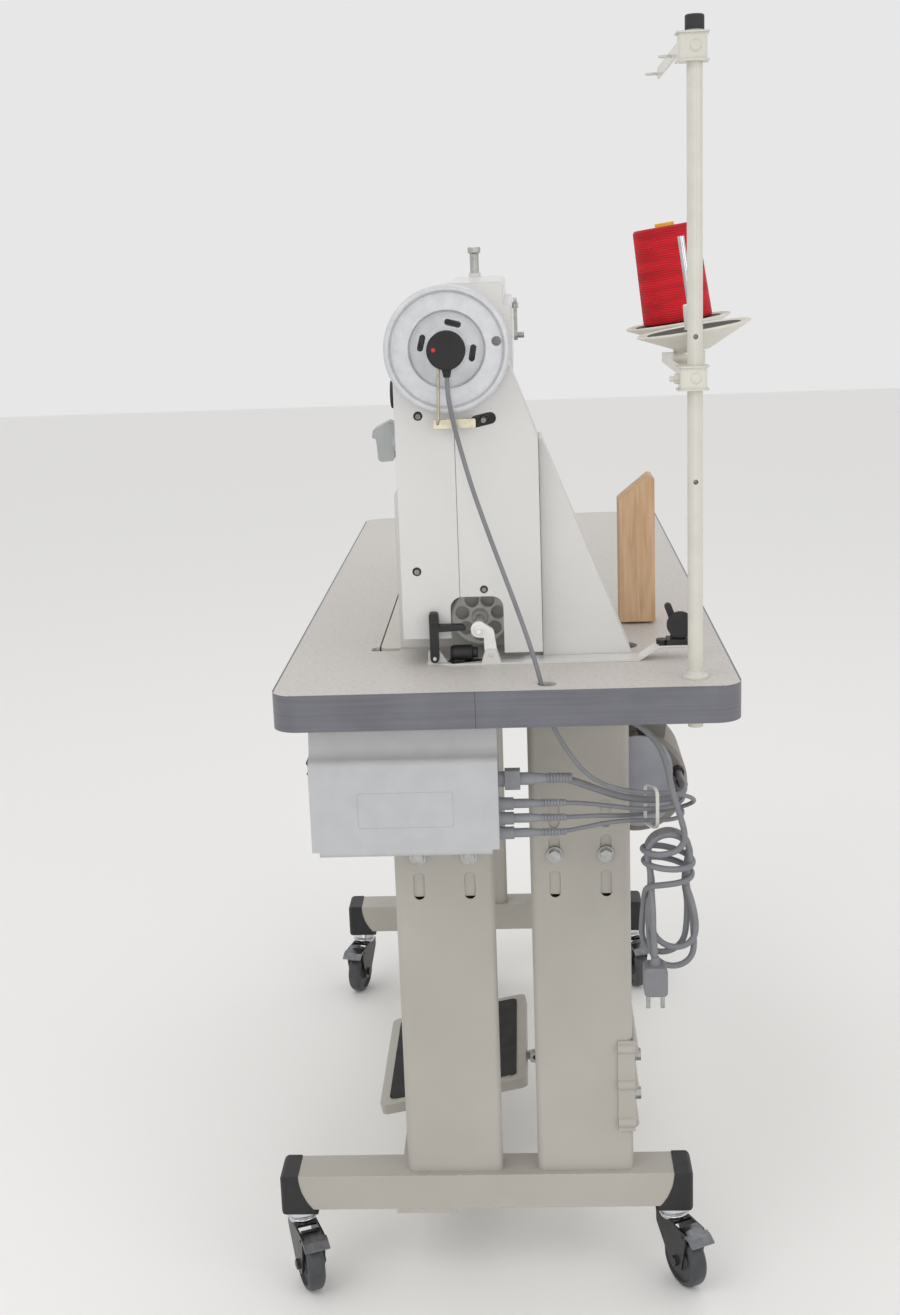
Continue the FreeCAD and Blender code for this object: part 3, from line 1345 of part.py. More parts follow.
def thread_stand():
    base = Vec(pole_x, pole_y, table_height)
    r = pole_radius
    pole = rod(r, Vec(pole_x, pole_y, table_bottom - 14), Vec(pole_x, pole_y, pole_top))
    holes = []
    for z in (table_height + 210, seat_height + 18):
        holes.append(rod(2.6, Vec(pole_x, pole_y, z), Vec(pole_x + 2 * r, pole_y, z)))
    flange = turned([(r, 0), (13.5, 0), (13.5, 3, 1), (r + 2, 4), (r + 1, 8), (r, 8)], base, along_z)
    nut = hexagon(14, Vec(pole_x, pole_y, table_bottom), Vec(pole_x, pole_y, table_bottom - 9)).cut(
        rod(r, Vec(pole_x, pole_y, table_bottom + 1), Vec(pole_x, pole_y, table_bottom - 12)))
    pole = joined(pole.cut(holes), flange, nut)
    cap = turned([(0, 0), (r + 1.6, 0), (r + 1.6, pole_cap_height, 2), (0, pole_cap_height)],
                 Vec(pole_x, pole_y, pole_top), along_z)
    guide_z = pole_top - 30
    clamp = clamp_block(guide_z, guide_z + 28)
    arm = prism([(pole_x - r - 3, guide_z + 8), (pole_x - r - 3, guide_z + 20),
                 (far_seat_x - 8, guide_z + 20, 3), (far_seat_x - 8, guide_z + 8, 3)],
                "XZ", pole_y - 16, pole_y - 14)
    eyes = []
    for x in (near_seat_x, far_seat_x):
        loop = ring(7, 5, Vec(x, pole_y - 23, guide_z + 12), Vec(x, pole_y - 23, guide_z + 14))
        tongue = block(x - 5, x + 5, pole_y - 18, pole_y - 14, guide_z + 12, guide_z + 14)
        eyes.append(joined(loop, tongue))
    guide = joined(clamp, arm, *eyes)
    return [pole, cap, guide]


def clamp_block(low, high):
    r = pole_radius
    wall = 2.0
    half = r + 3.5
    body = prism(rectangle(pole_x - half, pole_x + half, pole_y - half - 5, pole_y + half, 2.5), "XY", low,
                 high)
    hollow = prism(rectangle(pole_x - half + wall, pole_x + half - wall, pole_y - half - 5 + wall,
                             pole_y + half - wall, 1), "XY", low + wall, high - wall)
    bore = rod(r + seat_gap / 2, Vec(pole_x, pole_y, low - 1), Vec(pole_x, pole_y, high + 1))
    return body.cut([hollow, bore])


def spool_bracket():
    low = spool_arm_z - 14
    clamp = clamp_block(low, low + 25)
    bolt = joined(rod(3, Vec(pole_x, pole_y - 10, low + 12), Vec(pole_x, pole_y - 26, low + 12)),
                  hexagon(6, Vec(pole_x, pole_y - 16.5, low + 12), Vec(pole_x, pole_y - 21, low + 12)))
    arm_low = low + 20
    start = pole_x - pole_radius - 3.4
    arm = block(far_seat_x - 12, start, pole_y - 12, pole_y + 12, arm_low, arm_low + 3)
    rib = block(far_seat_x - 12, start, pole_y - 12, pole_y - 9, arm_low - 8, arm_low + 3)
    studs = []
    for x in (near_seat_x, far_seat_x):
        foot = Vec(x, seat_y, arm_low + 2)
        top = Vec(x, seat_y, seat_height - 1)
        studs.append(rod(9, foot, top))
    solid = joined(clamp, arm, rib, bolt, *studs)
    for x in (near_seat_x, far_seat_x):
        solid = solid.cut(tilted_seat(block(-80, 80, -80, 80, -0.01, 60), x))
    return [solid]


def tilted_seat(shape, x):
    shape.rotate(Vec(0, 0, 0), along_x, seat_tilt)
    shape.translate(Vec(x, seat_y, seat_height))
    return shape


def spool_seats():
    solids = []
    r = seat_radius
    for x in (near_seat_x, far_seat_x):
        dish = [(0, 0), (14, 0), (r - 1, seat_depth - 2.5), (r, seat_depth, 0.8), (r - 2.5, seat_depth),
                (16, 3), (0, 3)]
        solids.append(tilted_seat(turned(dish, Vec(0, 0, 0), along_z), x))
        pad_low = seat_depth - 5.0
        rise = (seat_depth - 3) / (r - 2.5 - 16)
        pad_r = 16 + (pad_low - 3) / rise - 1
        pad = turned([(cone_core, pad_low), (pad_r, pad_low), (pad_r + 2, pad_low + 4),
                      (cone_core, pad_low + 4)], Vec(0, 0, 0), along_z)
        hub = turned([(0, 3), (13, 3), (cone_core - 1.5, pad_low + 5), (cone_core - 3, pad_low + 30, 2),
                      (0, pad_low + 30)], Vec(0, 0, 0), along_z)
        pin = rod(pin_radius, Vec(0, 0, pad_low + 29), Vec(0, 0, pad_low + 100))
        struts = [block(-15, 15, -2, 2, 3, pad_low), block(-2, 2, -15, 15, 3, pad_low)]
        holder = joined(hub, pin, *struts)
        solids.append(tilted_seat(pad, x))
        solids.append(tilted_seat(holder, x))
    return solids


def thread_cone():
    low = seat_depth - 1.0 + running_gap
    bore = cone_core - 2.5
    high = low + cone_height
    core = turned([(bore + 1.2, low), (cone_core + 2, low), (cone_core, high + 4, 0.8), (bore, high + 4)],
                  Vec(0, 0, 0), along_z)
    wound = turned([(cone_core + 2, low), (cone_radius, low, 3), (cone_radius - cone_taper, high, 4),
                    (cone_core + 0.05, high)], Vec(0, 0, 0), along_z)
    wound = wound.cut(core)
    return [tilted_seat(core, far_seat_x), tilted_seat(wound, far_seat_x)]


def control_box():
    side = [(box_back, box_bottom, 4), (box_face, box_bottom, 6), (box_face, box_ledge, 9),
            (box_face - 16, box_ledge + 5, 12),
            (box_face - 24, box_top, 14), (box_back, box_top, 4)]
    body = prism(side, "XZ", box_front, box_rear)
    notches = [block(box_face - 40, box_face + 5, box_front - 5, box_front + 8, box_bottom - 5,
                     box_bottom + 7),
               block(box_face - 40, box_face + 5, box_rear - 8, box_rear + 5, box_bottom - 5, box_bottom + 7)]
    switch_z = box_ledge - 8
    pocket = block(box_face - 34, box_face - 10, box_front - 1, box_front + 6, switch_z - 7.5, switch_z + 7.5)
    label = prism(rectangle(box_front + 52, box_front + 156, box_bottom + 34, box_bottom + 74, 3), "YZ",
                  box_face - 0.4, box_face + 1)
    feet = []
    for y in (box_front + 24, box_rear - 24):
        for x in (box_back + 16, box_face - 50):
            feet.append(rod(8, Vec(x, y, box_top - 3), Vec(x, y, table_bottom)))
    body = joined(body.cut(notches + [pocket, label]), *feet)
    axle = rod(1.5, Vec(box_face - 35, box_front + 3, switch_z), Vec(box_face - 9, box_front + 3, switch_z))
    body = joined(body, axle)
    solids = [body]
    gland_z = table_bottom - 74.0
    solids.append(joined(
        rod(8.5, Vec(connector_x, box_rear, gland_z), Vec(connector_x, box_rear + 9, gland_z)),
        hexagon(12.5, Vec(connector_x, box_rear + 7, gland_z), Vec(connector_x, box_rear + 24, gland_z)),
        rod(7, Vec(connector_x, box_rear + 24, gland_z), Vec(connector_x, box_rear + 40, gland_z)),
        turned([(0, 0), (6.4, 0), (5, 15), (0, 15)], Vec(connector_x, box_rear + 39, gland_z), along_y)))
    for z in (table_bottom - 102.5, table_bottom - 119.5, table_bottom - 136.5):
        solids.append(joined(
            rod(7.6, Vec(connector_x, box_rear, z), Vec(connector_x, box_rear + 3, z)),
            rod(7.0, Vec(connector_x, box_rear + 3, z), Vec(connector_x, box_rear + 16, z)),
            turned([(0, 0), (5.2, 0), (5.2, 16), (3.6, 32), (0, 32)], Vec(connector_x, box_rear + 15, z),
                   along_y)))
    mains_z = table_bottom - 20.0
    solids.append(joined(rod(7, Vec(495, box_rear, mains_z), Vec(495, box_rear + 6, mains_z)),
                         turned([(0, 0), (5.5, 0), (4.2, 20), (0, 20)], Vec(495, box_rear + 5, mains_z),
                                along_y)))
    return solids


def power_switch():
    z = box_ledge - 8
    y = box_front + 3
    rocker = prism([(y - 6.0, z - 6.6), (y - 3.4, z, 8), (y - 6.0, z + 6.6), (y + 2.0, z + 6.2, 1),
                    (y + 2.0, z - 6.2, 1)], "YZ",
                   box_face - 33, box_face - 11)
    bore = rod(1.5 + running_gap, Vec(box_face - 40, y, z), Vec(box_face, y, z))
    return [rocker.cut(bore)]


# Cord routes, with heights counted from the underside of the table.
sensor_route = [
    (516, -53, 362), (516, -53, 345), (514, -50.5, 328), (509, -47.5, 310), (504, -43, 290),
    (503, -36.5, 264), (508, -29, 238), (515, -19.5, 210), (526, -8.4, 179), (538, 5, 143),
    (551, 18.6, 106), (563, 30, 72), (571, 38, 42), (573.5, 42.5, 16), (572.5, 50, -8),
    (567, 62, -33), (561, 80, -60), (556, 97, -76), (549, 119, -87), (538, 143, -95),
    (525, 165, -100), (512, 186, -106), (498, 204, -115), (480, 211, -126), (466, 202, -136),
    (466, 182, -141), (480, 164, -139), (502, 150, -133), (526, 126, -126), (539, 98, -120.5),
    (545, 68, -119.5), (545, 36, -119.5)]
motor_cable_route = [
    (545, 43, -74), (545, 60, -74), (541, 82, -83), (534, 106, -95), (524, 131, -106),
    (512, 157, -113), (497, 180, -117), (476, 196, -118.5), (450, 202, -119.5), (420, 200, -120),
        (392, 200, -120)]
encoder_route = [
    (545, 36, -102.5), (545, 58, -102.5), (543.5, 84, -104.5), (539, 110, -109.5), (531, 136, -116),
    (521, 160, -120.5), (506, 180, -123.5), (485, 193, -126), (457, 200, -129.5), (424, 203, -134),
        (392, 203, -134)]
pedal_cable_route = [
    (545, 36, -136.5), (545, 58, -136.5), (542, 82, -133), (536, 108, -130), (527, 134, -131),
    (515, 158, -136), (499, 181, -141.5), (477, 195, -145.5), (450, 200, -148), (421, 196, -149),
        (392, 196, -149)]
mains_route = [
    (495, 14, -20), (495, 38, -20), (497, 66, -15), (502, 95, -13), (512, 122, -14), (524, 146, -22),
    (533, 165, -40), (538.5, 174.5, -63), (541, 178.5, -89), (540, 178, -114), (540, 178, -138)]


def sensor_cable():
    return [cord_tube("sensor cable", sensor_route, signal_diameter)]


def motor_cable():
    return [cord_tube("motor cable", motor_cable_route, motor_cable_diameter)]


def encoder_cable():
    return [cord_tube("encoder cable", encoder_route, signal_diameter)]


def pedal_cable():
    return [cord_tube("pedal cable", pedal_cable_route, signal_diameter)]


def mains_lead():
    return [cord_tube("mains lead", mains_route, mains_diameter)]


# The folded mains lead hangs from its own wraps, and the plug rests against the front of its lower end.
hank_top = table_bottom - 138.0
hank_y = 174.5
hank_front = 560.0
hank_depth = 42.0
hank_length = 168.0
hank_half = 26.0
hank_waist = 18.0
plug_width = 26.0
plug_thickness = 24.0
plug_length = 34.0


def mains_hank():
    low = hank_top - hank_length
    waist = hank_top - 0.31 * hank_length
    shoulder = hank_top - 0.14 * hank_length
    hip = hank_top - 0.52 * hank_length
    right = [(hank_y + 12, hank_top), (hank_y + hank_half, shoulder, 8), (hank_y + hank_waist, waist, 12),
             (hank_y + hank_half, hip, 12), (hank_y + hank_half, low, 20)]
    left = [(2 * hank_y - spot[0],) + tuple(spot[1:]) for spot in reversed(right)]
    return [prism(right + left, "YZ", hank_front - hank_depth, hank_front)]


def mains_plug():
    x = hank_front + plug_thickness / 2
    y = hank_y - 17.5
    top = hank_top - hank_length + 22
    body = prism(rectangle(y - plug_width / 2, y + plug_width / 2, top - plug_length, top, 5), "YZ",
                 hank_front, hank_front + plug_thickness)
    pins = []
    for across in (-8, 8):
        pins.append(rod(2.4, Vec(x, y + across, top - plug_length),
                        Vec(x, y + across, top - plug_length - 18)))
    neck = turned([(0, 0), (6, 0), (4.2, 9), (0, 9)], Vec(x, y, top), along_z)
    return [joined(body, neck, *pins)]


def write(name, solids):
    shape = solids[0] if len(solids) == 1 else Part.makeCompound(solids)
    shape.exportStep("parts/" + name + ".step")


def main():
    os.makedirs("parts", exist_ok=True)
    builders = [
        foot_beams, beam_end_caps, leg_columns, leg_sliders, leg_bolts, cross_members, pedal,
        treadle_rod, speed_lever, table_top, head_rest_post, head_bed, hook, head_arm, face_plate,
        needle_bar, presser_bar, presser_screw, takeup_lever, tension_knob, stitch_dial, reverse_lever,
        lifter_lever, handwheel, position_sensor, drive_belt, belt_guard_front, belt_guard_rear,
        belt_guard_skirt, winder_base, winder_arm, winder_wheel, winder_latch, motor_body,
        motor_pulley, thread_stand, spool_bracket, spool_seats, thread_cone, control_box, power_switch,
        sensor_cable, motor_cable, encoder_cable, pedal_cable, mains_lead, mains_hank, mains_plug,
    ]
    for builder in builders:
        write(builder.__name__, builder())
    for name in caster_places():
        write("caster_fork_" + name, [set_caster(caster_fork(), name)])
        write("caster_wheel_" + name, [set_caster(caster_wheel(), name)])
        write("caster_brake_" + name, [set_caster(caster_brake(), name)])


main()
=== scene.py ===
import math
import bmesh
import bpy
from mathutils import Matrix, Vector


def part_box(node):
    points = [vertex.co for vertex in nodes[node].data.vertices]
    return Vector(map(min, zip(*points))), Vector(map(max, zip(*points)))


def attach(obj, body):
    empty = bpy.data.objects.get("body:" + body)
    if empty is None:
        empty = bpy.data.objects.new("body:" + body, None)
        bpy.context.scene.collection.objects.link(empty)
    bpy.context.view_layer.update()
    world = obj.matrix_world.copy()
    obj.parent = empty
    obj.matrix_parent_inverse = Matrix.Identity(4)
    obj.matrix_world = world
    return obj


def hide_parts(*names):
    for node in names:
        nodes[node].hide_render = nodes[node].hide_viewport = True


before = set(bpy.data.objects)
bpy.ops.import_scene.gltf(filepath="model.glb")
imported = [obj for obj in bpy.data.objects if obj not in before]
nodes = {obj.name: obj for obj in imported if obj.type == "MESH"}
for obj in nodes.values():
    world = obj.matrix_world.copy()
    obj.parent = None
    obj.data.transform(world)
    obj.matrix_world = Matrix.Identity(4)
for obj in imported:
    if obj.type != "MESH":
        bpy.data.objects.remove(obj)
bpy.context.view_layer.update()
mm = 0.001
print("frame loaded:", len(nodes), "nodes")


def hexToLinear(code):
    parts = [int(code[i:i + 2], 16) / 255 for i in (1, 3, 5)]
    return tuple(p / 12.92 if p <= 0.04045 else ((p + 0.055) / 1.055) ** 2.4 for p in parts) + (1.0,)


# An input given a socket is linked, one given a value is set; stops are the two ends of a colour ramp.
def addNode(tree, kind, inputs=None, stops=(), **settings):
    node = tree.nodes.new(kind)
    for name, value in settings.items():
        setattr(node, name, value)
    for end, (place, tone) in enumerate(stops):
        node.color_ramp.elements[end].position = place
        node.color_ramp.elements[end].color = hexToLinear(tone)
    for socket, value in (inputs or {}).items():
        if isinstance(value, bpy.types.NodeSocket):
            tree.links.new(value, node.inputs[socket])
        else:
            node.inputs[socket].default_value = value
    return node


def startMaterial(name, colour, roughness, metallic=0.0, coat=0.0):
    material = bpy.data.materials.new(name)
    material.use_nodes = True
    tree = material.node_tree
    shader = tree.nodes["Principled BSDF"]
    shader.inputs["Base Color"].default_value = hexToLinear(colour)
    shader.inputs["Roughness"].default_value = roughness
    shader.inputs["Metallic"].default_value = metallic
    if not metallic:
        shader.inputs["IOR"].default_value = 1.5  # typical for paint, plastic, rubber and wood
    shader.inputs["Coat Weight"].default_value = coat
    return material, tree, shader


# Colour drifts a little between two tones; patch is the size of one drift.
def driftColour(tree, shader, where, toneA, toneB, patch, detail=3.0, low=0.35, high=0.65):
    cloud = addNode(tree, "ShaderNodeTexNoise", {"Vector": where, "Scale": 1 / (patch * mm), "Detail": detail})
    ramp = addNode(tree, "ShaderNodeValToRGB", {"Fac": cloud.outputs["Fac"]}, stops=((low, toneA), (high, toneB)))
    tree.links.new(ramp.outputs["Color"], shader.inputs["Base Color"])
    return ramp.outputs["Color"]


# A fine surface grain; grain is its size, depth its height, edge the softened corner radius.
def grainBump(tree, shader, where, grain, depth, edge, strength=0.35):
    speck = addNode(tree, "ShaderNodeTexNoise", {"Vector": where, "Scale": 1 / (grain * mm), "Detail": 2.0})
    corner = addNode(tree, "ShaderNodeBevel", {"Radius": edge * mm}, samples=4)
    bump = addNode(tree, "ShaderNodeBump", {"Height": speck.outputs["Fac"], "Normal": corner.outputs["Normal"],
                                            "Strength": strength, "Distance": depth * mm})
    tree.links.new(bump.outputs["Normal"], shader.inputs["Normal"])


# Gloss wanders between two roughness values over patches of this size.
def driftGloss(tree, shader, where, patch, smooth, rough):
    cloud = addNode(tree, "ShaderNodeTexNoise", {"Vector": where, "Scale": 1 / (patch * mm)})
    spread = addNode(tree, "ShaderNodeMapRange", {"Value": cloud.outputs["Fac"], "To Min": smooth, "To Max": rough})
    tree.links.new(spread.outputs["Result"], shader.inputs["Roughness"])


# Rubbed edges: the colour goes to another tone in broken patches where the surface turns a corner.
# A colour mix takes its share in input 0 and its colours in 6 and 7, and gives its result in output 2.
def wornEdges(tree, shader, where, base, tone, width):
    wear = {"patch": 9.0, "turnFrom": 0.99, "turnFull": 0.8, "breakFrom": 0.4, "breakFull": 0.62}
    rounded = addNode(tree, "ShaderNodeBevel", {"Radius": width * mm}, samples=4)
    flat = addNode(tree, "ShaderNodeNewGeometry")
    agree = addNode(tree, "ShaderNodeVectorMath", {0: rounded.outputs["Normal"], 1: flat.outputs["Normal"]},
                    operation="DOT_PRODUCT")
    edge = addNode(tree, "ShaderNodeMapRange", {"Value": agree.outputs["Value"], "From Min": wear["turnFrom"],
                                                "From Max": wear["turnFull"]})
    cloud = addNode(tree, "ShaderNodeTexNoise", {"Vector": where, "Scale": 1 / (wear["patch"] * mm), "Detail": 4.0})
    broken = addNode(tree, "ShaderNodeMapRange", {"Value": cloud.outputs["Fac"], "From Min": wear["breakFrom"],
                                                  "From Max": wear["breakFull"]})
    share = addNode(tree, "ShaderNodeMath", {0: edge.outputs["Result"], 1: broken.outputs["Result"]},
                    operation="MULTIPLY")
    mix = addNode(tree, "ShaderNodeMix", {0: share.outputs[0], 6: base, 7: hexToLinear(tone)}, data_type="RGBA")
    tree.links.new(mix.outputs[2], shader.inputs["Base Color"])


def powderCoat():
    # Baked polyester powder on steel tube: a soft sheen broken by fine orange peel, paler where edges are rubbed.
    material, tree, shader = startMaterial("powder coated steel", "#aeaaa2", 0.45)
    where = addNode(tree, "ShaderNodeTexCoord").outputs["Object"]
    coat = driftColour(tree, shader, where, "#aba79f", "#b1ada5", patch=140)
    wornEdges(tree, shader, where, coat, "#d3d0c8", width=1.4)
    grainBump(tree, shader, where, grain=1.1, depth=0.12, edge=1.0)
    driftGloss(tree, shader, where, patch=40, smooth=0.38, rough=0.52)
    return material


def castEnamel():
    # Stoved enamel over filled cast iron: warm white, smooth, with a slow ripple in the gloss.
    material, tree, shader = startMaterial("stoved enamel", "#d4d3d0", 0.3, coat=0.2)
    where = addNode(tree, "ShaderNodeTexCoord").outputs["Object"]
    driftColour(tree, shader, where, "#d2d1ce", "#d7d6d3", patch=150)
    grainBump(tree, shader, where, grain=2.6, depth=0.1, edge=2.0, strength=0.25)
    driftGloss(tree, shader, where, patch=60, smooth=0.26, rough=0.38)
    return material


def guardShell():
    # Moulded ABS guard: an even satin with a faint spark texture.
    material, tree, shader = startMaterial("moulded ABS guard", "#d4d3d1", 0.42)
    where = addNode(tree, "ShaderNodeTexCoord").outputs["Object"]
    driftColour(tree, shader, where, "#d2d1cf", "#d6d5d3", patch=130)
    grainBump(tree, shader, where, grain=0.8, depth=0.08, edge=1.2)
    driftGloss(tree, shader, where, patch=50, smooth=0.38, rough=0.48)
    return material


def hammeredLacquer():
    # Hammer-finish lacquer on the aluminium handwheel: small dimples that scatter the light.
    hammer = {"dimple": 2.6, "depth": 0.25, "strength": 0.55, "edge": 1.2}
    material, tree, shader = startMaterial("hammered lacquer", "#c8c9cc", 0.3, metallic=0.15)
    where = addNode(tree, "ShaderNodeTexCoord").outputs["Object"]
    driftColour(tree, shader, where, "#c4c5c8", "#cdced1", patch=12)
    dimple = addNode(tree, "ShaderNodeTexVoronoi", {"Vector": where, "Scale": 1 / (hammer["dimple"] * mm)})
    corner = addNode(tree, "ShaderNodeBevel", {"Radius": hammer["edge"] * mm}, samples=4)
    bump = addNode(tree, "ShaderNodeBump", {
        "Height": dimple.outputs["Distance"], "Normal": corner.outputs["Normal"],
        "Strength": hammer["strength"], "Distance": hammer["depth"] * mm})
    tree.links.new(bump.outputs["Normal"], shader.inputs["Normal"])
    return material


def tableLaminate():
    # Pressed melamine laminate: grey-beige with a fine two-tone fleck and a dull sheen.
    sheet = {"speck": 2.2, "fleck": 5.0, "fleckShare": 0.32}
    material, tree, shader = startMaterial("melamine laminate", "#c5c1bc", 0.5)
    where = addNode(tree, "ShaderNodeTexCoord").outputs["Object"]
    ground = driftColour(tree, shader, where, "#c3beb9", "#c9c4bf", sheet["speck"], detail=6.0, low=0.4, high=0.6)
    fleck = addNode(tree, "ShaderNodeTexNoise", {"Vector": where, "Scale": 1 / (sheet["fleck"] * mm),
                                                 "Detail": 8.0})
    tint = addNode(tree, "ShaderNodeValToRGB", {"Fac": fleck.outputs["Fac"]},
                   stops=((0.36, "#dcd9d6"), (0.5, "#ffffff")))
    mix = addNode(tree, "ShaderNodeMix", {0: sheet["fleckShare"], 6: ground, 7: tint.outputs["Color"]},
                  data_type="RGBA", blend_type="MULTIPLY")
    tree.links.new(mix.outputs[2], shader.inputs["Base Color"])
    grainBump(tree, shader, where, grain=1.5, depth=0.06, edge=0.5)
    return material


def edgeBand():
    # Extruded PVC edge band: blue-grey and slightly waxy, drawn in faint level streaks, with one dark butt joint
    # at the operator's right. Real streaks are hair thin; they are drawn 4 mm apart so that they show.
    band = {"streak": 4.0, "streakStretch": 0.02, "jointY": -32.0, "jointHalfWidth": 0.35, "jointFromX": 590.0}
    material, tree, shader = startMaterial("PVC edge band", "#6a6a72", 0.4)
    where = addNode(tree, "ShaderNodeTexCoord").outputs["Object"]
    ground = driftColour(tree, shader, where, "#66666e", "#6e6e76", patch=60)
    drawn = addNode(tree, "ShaderNodeMapping", {"Vector": where,
                                                "Scale": (band["streakStretch"], band["streakStretch"], 1.0)})
    lines = addNode(tree, "ShaderNodeTexNoise", {"Vector": drawn.outputs["Vector"],
                                                 "Scale": 1 / (band["streak"] * mm), "Detail": 4.0})
    shade = addNode(tree, "ShaderNodeValToRGB", {"Fac": lines.outputs["Fac"]},
                    stops=((0.38, "#f0f0f2"), (0.6, "#ffffff")))
    streaked = addNode(tree, "ShaderNodeMix", {0: 1.0, 6: ground, 7: shade.outputs["Color"]},
                       data_type="RGBA", blend_type="MULTIPLY")
    axes = addNode(tree, "ShaderNodeSeparateXYZ", {0: where})
    line = addNode(tree, "ShaderNodeMath", {0: axes.outputs["Y"], 1: band["jointY"] * mm,
                                            2: band["jointHalfWidth"] * mm}, operation="COMPARE")
    end = addNode(tree, "ShaderNodeMath", {0: axes.outputs["X"], 1: band["jointFromX"] * mm},
                  operation="GREATER_THAN")
    both = addNode(tree, "ShaderNodeMath", {0: line.outputs[0], 1: end.outputs[0]}, operation="MULTIPLY")
    mix = addNode(tree, "ShaderNodeMix", {0: both.outputs[0], 6: streaked.outputs[2], 7: hexToLinear("#3a3a3e")},
                  data_type="RGBA")
    tree.links.new(mix.outputs[2], shader.inputs["Base Color"])
    grainBump(tree, shader, where, grain=1.4, depth=0.05, edge=0.8)
    return material


def beechWood():
    # Sawn beech: pale brown with darker growth lines and short flecks along the grain.
    wood = {"ring": 6.0, "alongGrain": 0.07, "relief": 0.3}
    material, tree, shader = startMaterial("sawn beech", "#c79f78", 0.6)
    where = addNode(tree, "ShaderNodeTexCoord").outputs["Object"]
    stretch = addNode(tree, "ShaderNodeMapping", {"Vector": where, "Scale": (1.0, 1.0, wood["alongGrain"])})
    grain = addNode(tree, "ShaderNodeTexNoise", {
        "Vector": stretch.outputs["Vector"], "Scale": 1 / (wood["ring"] * mm), "Detail": 8.0, "Distortion": 0.6})
    ramp = addNode(tree, "ShaderNodeValToRGB", {"Fac": grain.outputs["Fac"]},
                   stops=((0.3, "#be9670"), (0.7, "#d6b693")))
    tree.links.new(ramp.outputs["Color"], shader.inputs["Base Color"])
    bump = addNode(tree, "ShaderNodeBump", {"Height": grain.outputs["Fac"], "Strength": 0.3,
                                            "Distance": wood["relief"] * mm})
    tree.links.new(bump.outputs["Normal"], shader.inputs["Normal"])
    return material


def woundThread():
    # Polyester thread cross-wound on its core: fine bright ridges and slow darker layers, with little shine.
    # Real turns are 0.4 mm apart; they are drawn 2.6 mm apart so that they show.
    cone = {"turn": 2.6, "layer": 11.0, "layerStretch": 0.15, "layerShare": 0.9, "lean": -8.0, "relief": 0.5}
    material, tree, shader = startMaterial("wound polyester thread", "#a3141c", 0.62)
    shader.inputs["Specular IOR Level"].default_value = 0.3
    where = addNode(tree, "ShaderNodeTexCoord").outputs["Object"]
    lean = addNode(tree, "ShaderNodeMapping", {"Vector": where, "Rotation": (math.radians(cone["lean"]), 0, 0)})
    turns = addNode(tree, "ShaderNodeTexWave", {
        "Vector": lean.outputs["Vector"], "Distortion": 2.0, "Detail": 3.0,
        "Scale": math.pi / 10 / (cone["turn"] * mm)}, bands_direction="Z")  # a wave is pi / 10 long at scale 1
    ramp = addNode(tree, "ShaderNodeValToRGB", {"Fac": turns.outputs["Fac"]},
                   stops=((0.0, "#b60c18"), (1.0, "#dc1428")))
    flat = addNode(tree, "ShaderNodeMapping", {"Vector": lean.outputs["Vector"],
                                               "Scale": (cone["layerStretch"], cone["layerStretch"], 1.0)})
    layers = addNode(tree, "ShaderNodeTexNoise", {"Vector": flat.outputs["Vector"],
                                                  "Scale": 1 / (cone["layer"] * mm)})
    shade = addNode(tree, "ShaderNodeValToRGB", {"Fac": layers.outputs["Fac"]},
                    stops=((0.35, "#d2c4c4"), (0.6, "#ffffff")))
    mix = addNode(tree, "ShaderNodeMix", {
        0: cone["layerShare"], 6: ramp.outputs["Color"], 7: shade.outputs["Color"]},
        data_type="RGBA", blend_type="MULTIPLY")
    tree.links.new(mix.outputs[2], shader.inputs["Base Color"])
    bump = addNode(tree, "ShaderNodeBump", {"Height": turns.outputs["Fac"], "Strength": 0.6,
                                            "Distance": cone["relief"] * mm})
    tree.links.new(bump.outputs["Normal"], shader.inputs["Normal"])
    return material


# Bare and plated metals: two tones, the range of roughness, and the size of the grain.
def bareMetal(name, toneA, toneB, smooth, rough, grain=1.2):
    material, tree, shader = startMaterial(name, toneA, smooth, metallic=1.0)
    where = addNode(tree, "ShaderNodeTexCoord").outputs["Object"]
    driftColour(tree, shader, where, toneA, toneB, patch=9)
    grainBump(tree, shader, where, grain, depth=0.03, edge=0.4)
    driftGloss(tree, shader, where, patch=14, smooth=smooth, rough=rough)
    return material


# Paints, plastics and rubbers: two tones, the range of roughness, the grain's size and depth, and a tone for rubbed
# edges where hands and feet wear them.
def paintOrPlastic(name, toneA, toneB, smooth, rough, grain, depth, rubbed=None):
    material, tree, shader = startMaterial(name, toneA, smooth)
    where = addNode(tree, "ShaderNodeTexCoord").outputs["Object"]
    colour = driftColour(tree, shader, where, toneA, toneB, patch=25)
    if rubbed:
        wornEdges(tree, shader, where, colour, rubbed, width=1.0)
    grainBump(tree, shader, where, grain, depth, edge=0.8)
    driftGloss(tree, shader, where, patch=20, smooth=smooth, rough=rough)
    return material


